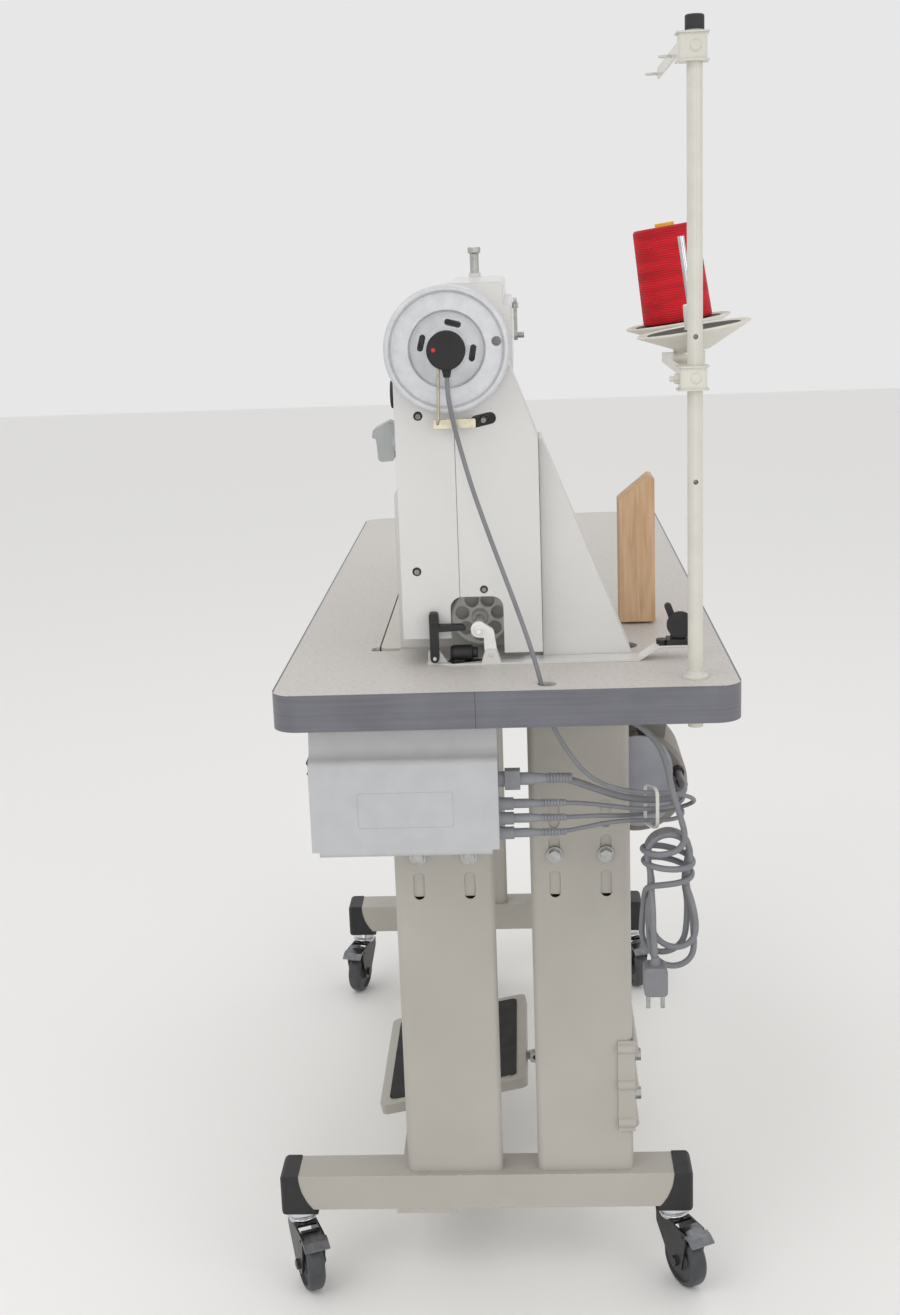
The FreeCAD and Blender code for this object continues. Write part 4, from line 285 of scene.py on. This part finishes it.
finish = {
    "stand": powderCoat(),
    "enamel": castEnamel(),
    "guard": guardShell(),
    "hammered": hammeredLacquer(),
    "laminate": tableLaminate(),
    "edge": edgeBand(),
    "beech": beechWood(),
    "thread": woundThread(),
    # Glossy ivory paint on the thread stand's tube and pressings: a clear long highlight.
    "ivory": paintOrPlastic("ivory gloss paint", "#cbc9bf", "#d1cfc5", 0.2, 0.3, 1.6, 0.03),
    # Plated over black nickel: dark mirror.
    "darkChrome": bareMetal("black nickel plate", "#77787b", "#8a8b8e", 0.18, 0.3),
    # Sprayed matt to match the table: grey-beige, slightly pebbled.
    "bedPaint": paintOrPlastic("matt bed paint", "#c6c1ba", "#cbc6bf", 0.5, 0.6, 1.2, 0.05),
    # Bright plating over tumbled steel: a soft mirror with a faint grain.
    "zinc": bareMetal("bright zinc plate", "#9d9e9d", "#b6b6b4", 0.28, 0.45),
    # The same plating passivated yellow: pale straw that clouds from spot to spot.
    "yellowZinc": bareMetal("yellow zinc plate", "#b7af98", "#c9c3af", 0.3, 0.45),
    # Polished before plating: near mirror, cold white.
    "chrome": bareMetal("chrome plate", "#c8c9cb", "#d6d7da", 0.12, 0.24),
    # Ground bars: grey, with a close fine grain that dulls the highlight.
    "steel": bareMetal("ground steel", "#a8a8a6", "#bdbdbb", 0.3, 0.42, grain=0.7),
    # Left as cast: dull grey, with the sand's coarse bumps.
    "castAlloy": bareMetal("sand-cast alloy", "#8f8f8d", "#a5a5a2", 0.45, 0.62, grain=2.0),
    # Moulded with glass fibre: black going grey at the edges, with a fine spark-eroded skin.
    "blackNylon": paintOrPlastic("glass-filled nylon", "#1b1b1c", "#242426", 0.42, 0.58, 0.8, 0.1,
                                 rubbed="#5a5a5b"),
    # Dipped lacquer on pressed steel: deep black with a clear highlight, slight orange peel and edges rubbed grey.
    "blackPaint": paintOrPlastic("black lacquered steel", "#141415", "#1d1d1f", 0.25, 0.38, 1.5, 0.05,
                                 rubbed="#77787a"),
    # Moulded matt: black that hardly shines.
    "sensorCase": paintOrPlastic("matt moulded case", "#131314", "#1a1a1b", 0.55, 0.68, 0.6, 0.06),
    # Cast round the hub: dark grey, waxy, scuffed.
    "tread": paintOrPlastic("polyurethane tread", "#3c3d40", "#494b4e", 0.42, 0.56, 1.0, 0.08),
    # Calendered sheet: dry black, dusty in the dips.
    "mat": paintOrPlastic("ribbed rubber mat", "#1c1c1c", "#272727", 0.65, 0.8, 1.2, 0.2),
    # Moulded and fabric-faced: dry black with a coarse skin.
    "belt": paintOrPlastic("moulded rubber belt", "#19191a", "#222223", 0.6, 0.75, 1.0, 0.15),
    # Moulded in an etched tool: cool pale grey with a fine even pebble.
    "boxShell": paintOrPlastic("textured ABS housing", "#b4b5b7", "#b9babc", 0.48, 0.58, 0.9, 0.12),
    # Soft moulded sleeves: mid grey with a satin glow.
    "greySleeve": paintOrPlastic("grey PVC sleeve", "#83858a", "#8b8d92", 0.45, 0.55, 1.0, 0.06),
    # Extruded round the wires: smooth grey with a long soft highlight.
    "cableGrey": paintOrPlastic("grey PVC sheath", "#75767a", "#7d7e82", 0.42, 0.52, 1.4, 0.04),
    # Moulded thumb paddle: pale green-grey, satin.
    "paddle": paintOrPlastic("grey ABS paddle", "#a9adad", "#b1b5b5", 0.42, 0.52, 0.8, 0.08),
    # Sprayed steel cover: blue-grey, slightly pebbled.
    "coverGrey": paintOrPlastic("painted pulley cover", "#989aa2", "#9fa1a9", 0.4, 0.5, 1.2, 0.05),
    # Sprayed over the casting: warm grey that keeps some of the casting's bumps and rubs paler at the edges.
    "motorPaint": paintOrPlastic("grey-brown motor paint", "#7d7770", "#86807a", 0.4, 0.52, 1.4, 0.08,
                                 rubbed="#a39d96"),
    # Matt plated disc: almost white, without a mirror. The tone is partly the disc's own near-white and partly
    # painted light: it is lifted brighter to offset the shade inside the guard window. The winder arm takes the same
    # finish.
    "winderPlate": paintOrPlastic("pale zinc friction wheel with painted light", "#e6e6e2", "#ececea", 0.35, 0.45, 1.0, 0.04),
    # Moulded natural nylon: milky warm white.
    "whiteNylon": paintOrPlastic("white nylon", "#dcdad4", "#e6e4de", 0.4, 0.5, 1.2, 0.05),
    # Moulded dish: ivory with a clean soft shine.
    "seat": paintOrPlastic("moulded styrene dish", "#d2cfc5", "#dcd9d0", 0.34, 0.44, 1.6, 0.05),
    # Cut open-cell foam: dark, dry, with open pores.
    "foam": paintOrPlastic("foam pad", "#3c3a38", "#4a4845", 0.75, 0.9, 1.6, 0.4),
    # Moulded thread core: plain bright yellow.
    "yellowCore": paintOrPlastic("yellow styrene core", "#d8b01c", "#e4c034", 0.35, 0.45, 1.4, 0.05),
    # Moulded lens: deep glossy red.
    "redLens": paintOrPlastic("red lens", "#b31217", "#c8181e", 0.2, 0.3, 2.0, 0.01),
}
print("finishes made:", len(finish))

paintedCrease = math.radians(32)  # sharper corners than this keep their edge


# A node takes one finish, or a rule that picks one for each face from its centre in millimetres and its normal.
def paint(name, rule):
    mesh = nodes[name].data
    mesh.shade_smooth()
    mesh.set_sharp_from_angle(angle=paintedCrease)
    mesh.materials.clear()
    picked = [rule if isinstance(rule, str) else rule(face.center / mm, face.normal) for face in mesh.polygons]
    order = sorted(set(picked))
    for entry in order:
        mesh.materials.append(finish[entry])
    for face, entry in zip(mesh.polygons, picked):
        face.material_index = order.index(entry)


# The two leaning spool seats and the cone on one of them: heights run along the tilted pin.
spoolSeat = {"middles": (490.0, 312.0), "y": 212.0, "z": 1140.0, "lean": 8.0, "padLow": 18.5, "padTop": 23.6,
             "padRadius": 49.8, "holderRadius": 15.6, "holderLow": 3.2, "pinRadius": 4.0, "pinLow": 40.0,
             "coreRadius": 13.1}


# Height along and distance from the nearest seat's pin.
def seatPlace(spot):
    lean = math.radians(spoolSeat["lean"])
    axis = Vector((0, -math.sin(lean), math.cos(lean)))
    middle = min(spoolSeat["middles"], key=lambda x: abs(x - spot.x))
    away = spot - Vector((middle, spoolSeat["y"], spoolSeat["z"]))
    height = away.dot(axis)
    return height, (away - axis * height).length


def seatFinish(spot, normal):
    height, radius = seatPlace(spot)
    if radius < spoolSeat["pinRadius"] and height > spoolSeat["pinLow"]:
        return "chrome"
    if radius < spoolSeat["holderRadius"] and height > spoolSeat["holderLow"]:
        return "whiteNylon"
    onPad = spoolSeat["padLow"] < height < spoolSeat["padTop"] and radius < spoolSeat["padRadius"]
    return "foam" if onPad else "seat"


def coneFinish(spot, normal):
    return "yellowCore" if seatPlace(spot)[1] < spoolSeat["coreRadius"] else "thread"


# The treadle slopes up towards the back; what stands this far above its line is the rubber mat.
treadle = {"y": -117.0, "z": 124.0, "slope": 11.3, "matFrom": 14.1}


def treadleFinish(spot, normal):
    slope = math.radians(treadle["slope"])
    rise = (spot.z - treadle["z"]) * math.cos(slope) - (spot.y - treadle["y"]) * math.sin(slope)
    return "mat" if rise > treadle["matFrom"] else "stand"


# The edge band runs round the table and its rounded corners; there, a face that looks up or down is laminate.
tableEdge = {"band": 2.1, "corner": 55.0, "level": 0.9}
tableHalf = Vector(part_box("table_top")[1]) / mm


def tableFinish(spot, normal):
    toEnd, toSide = tableHalf.x - abs(spot.x), tableHalf.y - abs(spot.y)
    inBand = min(toEnd, toSide) < tableEdge["band"]
    atCorner = max(toEnd, toSide) < tableEdge["corner"] and abs(normal.z) < tableEdge["level"]
    return "edge" if inBand or atCorner else "laminate"


# The pulley cover stands on the motor's right end, with the cable glands behind it.
motorEnd = {"coverX": 384.05, "glandY": 191.2}


def motorFinish(spot, normal):
    if spot.x > motorEnd["coverX"]:
        return "blackNylon" if spot.y > motorEnd["glandY"] else "coverGrey"
    return "motorPaint"


# The winder's base strip carries a black cup in front and its black thread tension behind.
winderStrip = {"cupX": (458.0, 478.0), "cupY": (-62.2, -30.8), "cupZ": 801.7, "tensionY": 168.0, "tensionZ": 816.4}


def winderFinish(spot, normal):
    inCup = winderStrip["cupX"][0] < spot.x < winderStrip["cupX"][1]
    inCup = inCup and winderStrip["cupY"][0] < spot.y < winderStrip["cupY"][1] and spot.z > winderStrip["cupZ"]
    onTension = spot.y > winderStrip["tensionY"] and spot.z > winderStrip["tensionZ"]
    return "blackNylon" if inCup or onTension else "enamel"


# The thread tension's stud and discs stand out of the arm's front.
tensionDiscs = {"x": (49.0, 75.0), "z": (1122.0, 1148.0), "y": -110.9}


def armFinish(spot, normal):
    onDiscs = tensionDiscs["x"][0] < spot.x < tensionDiscs["x"][1]
    onDiscs = onDiscs and tensionDiscs["z"][0] < spot.z < tensionDiscs["z"][1]
    return "chrome" if onDiscs and spot.y < tensionDiscs["y"] else "enamel"


# The sensor's case sits above its stay rod and clip.
sensorCap = {"x": 506.9, "z": 1121.9}


def sensorFinish(spot, normal):
    return "sensorCase" if spot.x > sensorCap["x"] and spot.z > sensorCap["z"] else "yellowZinc"


wholeFinishes = {
    "stand": ["foot_beams", "leg_columns", "leg_sliders", "cross_members"],
    "zinc": ["leg_bolts", "treadle_rod", "speed_lever", "lifter_lever"],
    "steel": ["hook", "needle_bar", "presser_bar", "presser_screw", "takeup_lever"],
    "chrome": ["tension_knob"],
    "blackNylon": ["beam_end_caps", "stitch_dial", "winder_latch", "power_switch"],
    "enamel": ["face_plate"],
    "guard": ["belt_guard_front", "belt_guard_rear", "belt_guard_skirt"],
    "ivory": ["spool_bracket"],
    "hammered": ["handwheel"],
    "belt": ["drive_belt"],
    "paddle": ["reverse_lever"],
    "castAlloy": ["motor_pulley"],
    # The winder arm and wheel: their near-white is lifted with painted light against the shade inside the guard.
    "winderPlate": ["winder_arm", "winder_wheel"],
    "tread": [name for name in nodes if name.startswith("caster_wheel")],
    "darkChrome": [name for name in nodes if name.startswith("caster_brake")],
}
for entry, names in wholeFinishes.items():
    for name in names:
        paint(name, entry)

# Nodes that change finish at one place along an axis (1 is y, 2 is z): the finish beyond it and short of it.
splitFinishes = {
    "head_rest_post": {"axis": 2, "from": 802.95, "beyond": "beech", "short": "zinc"},
    "head_bed": {"axis": 2, "from": 803.5, "beyond": "enamel", "short": "bedPaint"},
    "thread_stand": {"axis": 2, "from": 1452.95, "beyond": "blackNylon", "short": "ivory"},
    "mains_plug": {"axis": 2, "from": 441.9, "beyond": "cableGrey", "short": "zinc"},
    "control_box": {"axis": 1, "from": -10.9, "beyond": "greySleeve", "short": "boxShell"},
}
casterFork = {"axis": 2, "from": 82.0, "beyond": "chrome", "short": "blackPaint"}
splitFinishes.update({name: casterFork for name in nodes if name.startswith("caster_fork")})
for name, split in splitFinishes.items():
    paint(name, lambda spot, normal: split["beyond"] if spot[split["axis"]] > split["from"] else split["short"])

for name, rule in (("pedal", treadleFinish), ("table_top", tableFinish), ("spool_seats", seatFinish),
                   ("thread_cone", coneFinish), ("motor_body", motorFinish), ("winder_base", winderFinish),
                   ("head_arm", armFinish), ("position_sensor", sensorFinish)):
    paint(name, rule)
print("CAD nodes painted")


def ridePiece(name, mesh, material, body):
    obj = bpy.data.objects.new(name, mesh)
    bpy.context.scene.collection.objects.link(obj)
    obj.data.materials.append(material)
    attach(obj, body)
    return obj


lathe = {"steps": 32, "crease": 35.0}


# A turned piece: a profile of radii and heights is spun round an axis that starts at the given place.
def placeTurned(name, profile, at, axis, material, body):
    steps = lathe["steps"]
    work = bmesh.new()
    rings = []
    for radius, height in profile:
        turns = [2 * math.pi * step / steps for step in range(steps)]
        rings.append([work.verts.new((radius * mm * math.cos(turn), radius * mm * math.sin(turn), height * mm))
                      for turn in turns])
    for lower, upper in zip(rings, rings[1:]):
        for step in range(steps):
            work.faces.new((lower[step], lower[(step + 1) % steps], upper[(step + 1) % steps], upper[step]))
    work.faces.new(list(reversed(rings[0])))
    work.faces.new(rings[-1])
    mesh = bpy.data.meshes.new(name)
    work.to_mesh(mesh)
    work.free()
    mesh.shade_smooth()
    mesh.set_sharp_from_angle(angle=math.radians(lathe["crease"]))
    turn = Vector((0, 0, 1)).rotation_difference(Vector(axis)).to_matrix().to_4x4()
    mesh.transform(Matrix.Translation(Vector(at) * mm) @ turn)
    return ridePiece(name, mesh, material, body)


# Guard screws: a black collar round a sunk cast head; both profiles are shares of the hole's radius and the height.
guardScrews = {
    "face": 469.2,
    "height": 2.4,
    "spots": [(-88, 1078, 4.7), (-96, 906, 4.7), (-22, 884, 4.2), (-17, 1072, 4.6)],  # y, z and radius
    "collar": [(1.0, 0.0), (1.0, 0.5), (0.85, 0.9), (0.45, 1.0), (0.4, 0.55)],
    "headShare": 0.62,
    "headRise": 0.6,
    "headDrop": 0.16,
    "head": [(1.0, 0.0), (1.0, 0.45), (0.8, 0.6), (0.42, 0.6), (0.36, 0.2)],
}
for index, (y, z, radius) in enumerate(guardScrews["spots"]):
    tall = guardScrews["height"]
    collar = [(radius * wide, tall * high) for wide, high in guardScrews["collar"]]
    collarAt = (guardScrews["face"], y, z)
    placeTurned("guardScrew%d" % index, collar, collarAt, (1, 0, 0), finish["blackPaint"], "stand")
    headRadius = radius * guardScrews["headShare"]
    head = [(headRadius * wide, tall * high) for wide, high in guardScrews["head"]]
    headAt = (guardScrews["face"] + tall * guardScrews["headRise"], y, z - radius * guardScrews["headDrop"])
    placeTurned("guardScrewHead%d" % index, head, headAt, (1, 0, 0), finish["castAlloy"], "stand")

sensorLamp = {"at": (525.0, -66.0, 1151.0), "radius": 2.4,
              "dome": [(1.0, -0.5), (1.0, 0.5), (0.7, 1.1), (0.3, 1.3)]}  # shares of the radius, and heights
dome = [(sensorLamp["radius"] * wide, height) for wide, height in sensorLamp["dome"]]
placeTurned("sensorLamp", dome, sensorLamp["at"], (1, 0, 0), finish["redLens"], "stand")
print("small trim placed")


def cordCurve(name, points, diameter, material, nodesReplaced):
    curve = bpy.data.curves.new(name, "CURVE")
    curve.dimensions = "3D"
    spline = curve.splines.new("NURBS")
    spline.points.add(len(points) - 1)
    for point, spot in zip(spline.points, points):
        point.co = (spot[0] * mm, spot[1] * mm, spot[2] * mm, 1.0)
    spline.order_u = 3
    spline.use_endpoint_u = True
    spline.resolution_u = 6
    curve.bevel_depth = diameter * mm / 2
    curve.bevel_resolution = 5
    curve.use_fill_caps = True
    obj = bpy.data.objects.new(name, curve)
    bpy.context.scene.collection.objects.link(obj)
    curve.materials.append(material)
    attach(obj, "stand")
    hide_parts(*nodesReplaced)
    return obj


def splineLength(obj):
    plain = obj.data.copy()
    plain.bevel_depth = 0.0
    probe = bpy.data.objects.new("probe", plain)
    bpy.context.scene.collection.objects.link(probe)
    bpy.context.view_layer.update()
    mesh = bpy.data.meshes.new_from_object(probe.evaluated_get(bpy.context.evaluated_depsgraph_get()))
    total = sum((mesh.vertices[e.vertices[0]].co - mesh.vertices[e.vertices[1]].co).length for e in mesh.edges)
    bpy.data.objects.remove(probe)
    bpy.data.meshes.remove(mesh)
    bpy.data.curves.remove(plain)
    return total


# Signal and motor cables; boxEnd is the route's point at the control box, the first or the last.
cables = {
    "sensorCable": {
        "node": "sensor_cable",
        "boxEnd": -1,
        "diameter": 5.0,
        "route": [
            (516, -53, 1122), (516, -53, 1105), (514, -50.5, 1088), (509, -47.5, 1070), (504, -43, 1050),
            (503, -36.5, 1024), (508, -29, 998), (515, -19.5, 970), (526, -8.4, 939), (538, 5, 903),
            (551, 18.6, 866), (563, 30, 832), (571, 38, 802), (573.5, 42.5, 776), (572.5, 50, 752),
            (567, 62, 727), (561, 80, 700), (556, 97, 684), (549, 119, 673), (538, 143, 665),
            (525, 165, 660), (512, 186, 654), (498, 204, 645), (480, 211, 634), (466, 202, 624),
            (466, 182, 619), (480, 164, 621), (502, 150, 627), (526, 126, 634), (539, 98, 639.5),
            (545, 68, 640.5), (545, 36, 640.5)],
    },
    "motorCable": {
        "node": "motor_cable",
        "boxEnd": 0,
        "diameter": 8.0,
        "route": [
            (545, 43, 686), (545, 60, 686), (541, 82, 677), (534, 106, 665), (524, 131, 654),
            (512, 157, 647), (497, 180, 643), (476, 196, 641.5), (450, 202, 640.5), (420, 200, 640),
            (392, 200, 640)],
    },
    "encoderCable": {
        "node": "encoder_cable",
        "boxEnd": 0,
        "diameter": 5.0,
        "route": [
            (545, 36, 657.5), (545, 58, 657.5), (543.5, 84, 655.5), (539, 110, 650.5), (531, 136, 644),
            (521, 160, 639.5), (506, 180, 636.5), (485, 193, 634), (457, 200, 630.5), (424, 203, 626),
            (392, 203, 626)],
    },
    "pedalCable": {
        "node": "pedal_cable",
        "boxEnd": 0,
        "diameter": 5.0,
        "route": [
            (545, 36, 623.5), (545, 58, 623.5), (542, 82, 627), (536, 108, 630), (527, 134, 629),
            (515, 158, 624), (499, 181, 618.5), (477, 195, 614.5), (450, 200, 612), (421, 196, 611),
            (392, 196, 611)],
    },
}
# Ribbed strain reliefs where the cables leave the box, one grey moulding on each cable.
cableRelief = {"ribs": 8, "pitch": 3.4, "rib": 1.9, "flank": 0.2, "proud": 2.2, "neck": 1.1, "taper": 0.12}
for name, cable in cables.items():
    piece = cordCurve(name, cable["route"], cable["diameter"], finish["cableGrey"], [cable["node"]])
    length = splineLength(piece)
    rings = []
    for rib in range(cableRelief["ribs"]):
        start, thinner = rib * cableRelief["pitch"], rib * cableRelief["taper"]
        proud = cable["diameter"] / 2 + cableRelief["proud"] - thinner
        neck = cable["diameter"] / 2 + cableRelief["neck"] - thinner / 2
        rings += [(proud, start), (proud, start + cableRelief["rib"]),
                  (neck, start + cableRelief["rib"] + cableRelief["flank"]),
                  (neck, start + cableRelief["pitch"] - cableRelief["flank"])]
    atBox = cable["route"][cable["boxEnd"]]
    relief = placeTurned(name + "Relief", rings, atBox, (0, 1, 0), finish["greySleeve"], "stand")
    print(name, round(length, 3), "m")

# The mains lead drops from the box, is wound loosely round its own folds and hangs there, the plug at the low end.
mainsLead = {
    "diameter": 7.0,
    "route": [
        (495, 14, 740), (495, 38, 740), (497, 66, 745), (502, 95, 747), (512, 122, 746),
        (524, 146, 738), (533, 165, 720), (538, 174, 697), (538.5, 178.5, 671), (539.5, 184, 651),
        (545.5, 189, 634), (554, 192, 622), (562, 189.8, 612.5), (568, 180.5, 605.5)],
    "middle": (539.5, 174.5),
    "wrapTurns": 2.25,
    "wrapSteps": 16,  # points in one turn
    "wrapTop": 598.0,
    "wrapPitch": 13.0,
    "wrapTilt": 4.0,
    "wrapRadius": (28.5, 26.0),  # first and last turn
    "entryDrop": 4.0,
    "exitDrop": 24.0,
    "dropAngle": 55.0,
    "join": [(529.5, 148.0, 531.0)],
    "folds": [
        {"top": 620.0, "low": 472.0, "sway": -7.0},
        {"top": 620.0, "low": 458.0, "sway": 5.0},
        {"top": 620.0, "low": 484.0, "sway": 10.0},
        {"top": 620.0, "low": 470.0, "sway": -4.0}],
    "swayOver": 100.0,  # the sway is reached this far below the pinch
    "sideShares": (0.0, 0.2, 0.4, 0.6, 0.8, 1.0),
    "bendTurns": (30, 60, 90, 120, 150),
    "firstFrom": 4,  # the first fold starts below the wraps, at this point of its front side
    "lastUntil": 3,  # the last fold keeps this many points and runs into the tail
    "farLayer": 528.0,
    "spacing": 7.6,
    "foldRadius": 24.8,
    "pinch": 7.0,
    "pinchZ": 564.0,
    "pinchReach": 20.0,
    "tail": [(561.0, 156.0, 531.0), (566.0, 155.5, 515.0), (570.5, 156.3, 500.0), (572.0, 157.0, 487.0),
             (572.0, 157.0, 476.5)],
}


# One fold: down the front side, round the bottom, up the rear side and over the top, drawn in where it is wound.
def foldPoints(lead, index):
    fold, radius = lead["folds"][index], lead["foldRadius"]
    topCentre, lowCentre = fold["top"] - radius, fold["low"] + radius
    heights = [topCentre + (lowCentre - topCentre) * share for share in lead["sideShares"]]
    pulls = [lead["pinch"] * math.exp(-((height - lead["pinchZ"]) / lead["pinchReach"]) ** 2) for height in heights]
    down = [(pull - radius, height) for pull, height in zip(pulls, heights)]
    up = [(radius - pull, height) for pull, height in zip(pulls[::-1], heights[::-1])]
    bends = [(radius * math.cos(math.radians(turn)), radius * math.sin(math.radians(turn)))
             for turn in lead["bendTurns"]]
    under = [(-across, lowCentre - rise) for across, rise in bends]
    over = [(across, topCentre + rise) for across, rise in bends]
    points = []
    spots = down + under + up + over
    for step, (across, height) in enumerate(spots):
        x = lead["farLayer"] + lead["spacing"] * (index + step / len(spots))
        drift = fold["sway"] * max(0.0, (lead["pinchZ"] - height) / lead["swayOver"])
        points.append((x, lead["middle"][1] + across + drift, height))
    return points


mainsRoute = list(mainsLead["route"])
firstRadius, lastRadius = mainsLead["wrapRadius"]
wrapEnd = 360 * mainsLead["wrapTurns"]
for step in range(1, round(mainsLead["wrapTurns"] * mainsLead["wrapSteps"]) + 1):
    angle = 360 * step / mainsLead["wrapSteps"]
    radius = firstRadius + (lastRadius - firstRadius) * angle / wrapEnd
    height = mainsLead["wrapTop"] - mainsLead["wrapPitch"] * angle / 360
    height += mainsLead["wrapTilt"] * math.sin(math.radians(angle))
    height += mainsLead["entryDrop"] * math.exp(-angle / mainsLead["dropAngle"])
    height -= mainsLead["exitDrop"] * math.exp((angle - wrapEnd) / mainsLead["dropAngle"])
    mainsRoute.append((mainsLead["middle"][0] + radius * math.cos(math.radians(angle)),
                       mainsLead["middle"][1] - radius * math.sin(math.radians(angle)), height))
lastFold = len(mainsLead["folds"]) - 1
mainsRoute += mainsLead["join"] + foldPoints(mainsLead, 0)[mainsLead["firstFrom"]:]
for index in range(1, lastFold):
    mainsRoute += foldPoints(mainsLead, index)
mainsRoute += foldPoints(mainsLead, lastFold)[:mainsLead["lastUntil"]] + mainsLead["tail"]
mains = cordCurve("mainsLead", mainsRoute, mainsLead["diameter"], finish["cableGrey"], ["mains_lead", "mains_hank"])
mainsLength = splineLength(mains)
print("mainsLead", round(mainsLength, 3), "m")


# A flat band round a rounded rectangle, for the cable tie and the lips of the pole clamps.
def bandMesh(name, width, height, corner, breadth, thickness):
    cornerSteps = 4
    right, top = width / 2 - corner, height / 2 - corner
    outline = []
    for cx, cy, start in ((right, top, 0), (-right, top, 90), (-right, -top, 180), (right, -top, 270)):
        for step in range(cornerSteps + 1):
            angle = math.radians(start + 90 / cornerSteps * step)
            outline.append((cx, cy, math.cos(angle), math.sin(angle)))
    work = bmesh.new()
    loops = []
    for offset, z in ((0, -breadth / 2), (thickness, -breadth / 2), (thickness, breadth / 2), (0, breadth / 2)):
        reach = corner + offset
        loops.append([work.verts.new(((cx + reach * nx) * mm, (cy + reach * ny) * mm, z * mm))
                      for cx, cy, nx, ny in outline])
    count = len(outline)
    for first, second in zip(loops, loops[1:] + loops[:1]):
        for step in range(count):
            work.faces.new((first[step], first[(step + 1) % count], second[(step + 1) % count], second[step]))
    bmesh.ops.recalc_face_normals(work, faces=work.faces)
    mesh = bpy.data.meshes.new(name)
    work.to_mesh(mesh)
    work.free()
    return mesh


# The two pole clamps are pressed from sheet: a turned-out lip at each end and a pressed dimple between them.
poleClamp = {
    "at": (560.0, 200.5),
    "width": 23.0,
    "depth": 28.0,
    "corner": 2.5,
    "lip": 2.4,
    "sheet": 1.8,
    "face": 571.4,
    "heights": {"guide": (1423.0, 28.0), "spool": (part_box("spool_bracket")[0][2] / mm, 25.0)},  # low end and length
    "dimple": [(6, 0), (5.6, 0.5), (4, 1.1), (1.5, 1.4)],
    "dimpleShift": 2.5,
}
for clamp, (low, tall) in poleClamp["heights"].items():
    for end, height in (("Low", low + poleClamp["sheet"] / 2), ("Top", low + tall - poleClamp["sheet"] / 2)):
        lip = bandMesh(clamp + "ClampLip" + end, poleClamp["width"], poleClamp["depth"], poleClamp["corner"],
                       poleClamp["sheet"], poleClamp["lip"])
        lip.transform(Matrix.Translation(Vector((*poleClamp["at"], height)) * mm))
        ridePiece(clamp + "ClampLip" + end, lip, finish["ivory"], "stand")
    middle = (poleClamp["face"], poleClamp["at"][1] + poleClamp["dimpleShift"], low + tall / 2)
    placeTurned(clamp + "ClampDimple", poleClamp["dimple"], middle, (1, 0, 0), finish["ivory"], "stand")

cableTie = {"width": 24.0, "height": 46.0, "corner": 7.0, "breadth": 4.0, "thickness": 1.4,
            "at": (519.0, 158.0, 642.0), "turn": 28.0}
tie = bandMesh("cableTie", cableTie["width"], cableTie["height"], cableTie["corner"], cableTie["breadth"],
               cableTie["thickness"])
acrossBundle = Matrix.Rotation(math.radians(cableTie["turn"]), 4, "Z") @ Matrix.Rotation(math.radians(90), 4, "X")
tie.transform(Matrix.Translation(Vector(cableTie["at"]) * mm) @ acrossBundle)
ridePiece("cableTie", tie, finish["whiteNylon"], "stand")
print("cords and ties laid")

# Studio, in metres and watts: a pale floor, soft lamps at the camera's left and right, one overhead, one in front.
studio = {"floorHalf": 12.0, "floorTone": "#f2f1ef", "floorRoughness": 0.6,
          "skyTone": "#ffffff", "skyStrength": 0.8}
floorMesh = bpy.data.meshes.new("floor")
work = bmesh.new()
bmesh.ops.create_grid(work, x_segments=1, y_segments=1, size=studio["floorHalf"])
work.to_mesh(floorMesh)
work.free()
floor = bpy.data.objects.new("floor", floorMesh)
bpy.context.scene.collection.objects.link(floor)
floorMesh.materials.append(startMaterial("pale studio floor", studio["floorTone"], studio["floorRoughness"])[0])

world = bpy.data.worlds.new("studio")
bpy.context.scene.world = world
world.use_nodes = True
world.node_tree.nodes["Background"].inputs["Color"].default_value = hexToLinear(studio["skyTone"])
world.node_tree.nodes["Background"].inputs["Strength"].default_value = studio["skyStrength"]

lamps = {
    "key": {"at": (2.4, -2.2, 3.2), "aim": (0.3, 0.0, 0.9), "size": 2.2, "power": 21.0},
    "fill": {"at": (2.6, 2.6, 2.2), "aim": (0.3, 0.0, 0.9), "size": 2.4, "power": 19.0},
    "top": {"at": (-0.5, 0.0, 3.6), "aim": (0.0, 0.0, 0.8), "size": 2.6, "power": 12.0},
    "front": {"at": (3.4, 0.1, 1.1), "aim": (0.4, 0.0, 0.9), "size": 1.4, "power": 8.0},
}
for name, lamp in lamps.items():
    light = bpy.data.lights.new(name, "AREA")
    light.energy = lamp["power"]
    light.size = lamp["size"]
    obj = bpy.data.objects.new(name, light)
    bpy.context.scene.collection.objects.link(obj)
    obj.location = lamp["at"]
    obj.rotation_euler = (Vector(lamp["aim"]) - Vector(lamp["at"])).to_track_quat("-Z", "Y").to_euler()

# The photograph's camera: its place in metres, its turns in radians, its lens and film height in millimetres.
cameraView = {"at": (2.3062, 0.0251, 1.2519), "yaw": -0.0478, "pitch": 0.23765, "roll": -0.03683, "lens": 45.98,
              "film": 36.0}
yaw, pitch = cameraView["yaw"], cameraView["pitch"]
ahead = Vector((-math.cos(yaw) * math.cos(pitch), math.sin(yaw) * math.cos(pitch), -math.sin(pitch)))
cameraData = bpy.data.cameras.new("camera")
cameraData.sensor_fit = "VERTICAL"
cameraData.sensor_height = cameraView["film"]
cameraData.lens = cameraView["lens"]
camera = bpy.data.objects.new("camera", cameraData)
bpy.context.scene.collection.objects.link(camera)
level = ahead.to_track_quat("-Z", "Y").to_matrix().to_4x4()
rolled = level @ Matrix.Rotation(cameraView["roll"], 4, "Z")
camera.matrix_world = Matrix.Translation(Vector(cameraView["at"])) @ rolled
bpy.context.scene.camera = camera
bpy.context.scene.view_settings.view_transform = "Standard"
print("studio set")
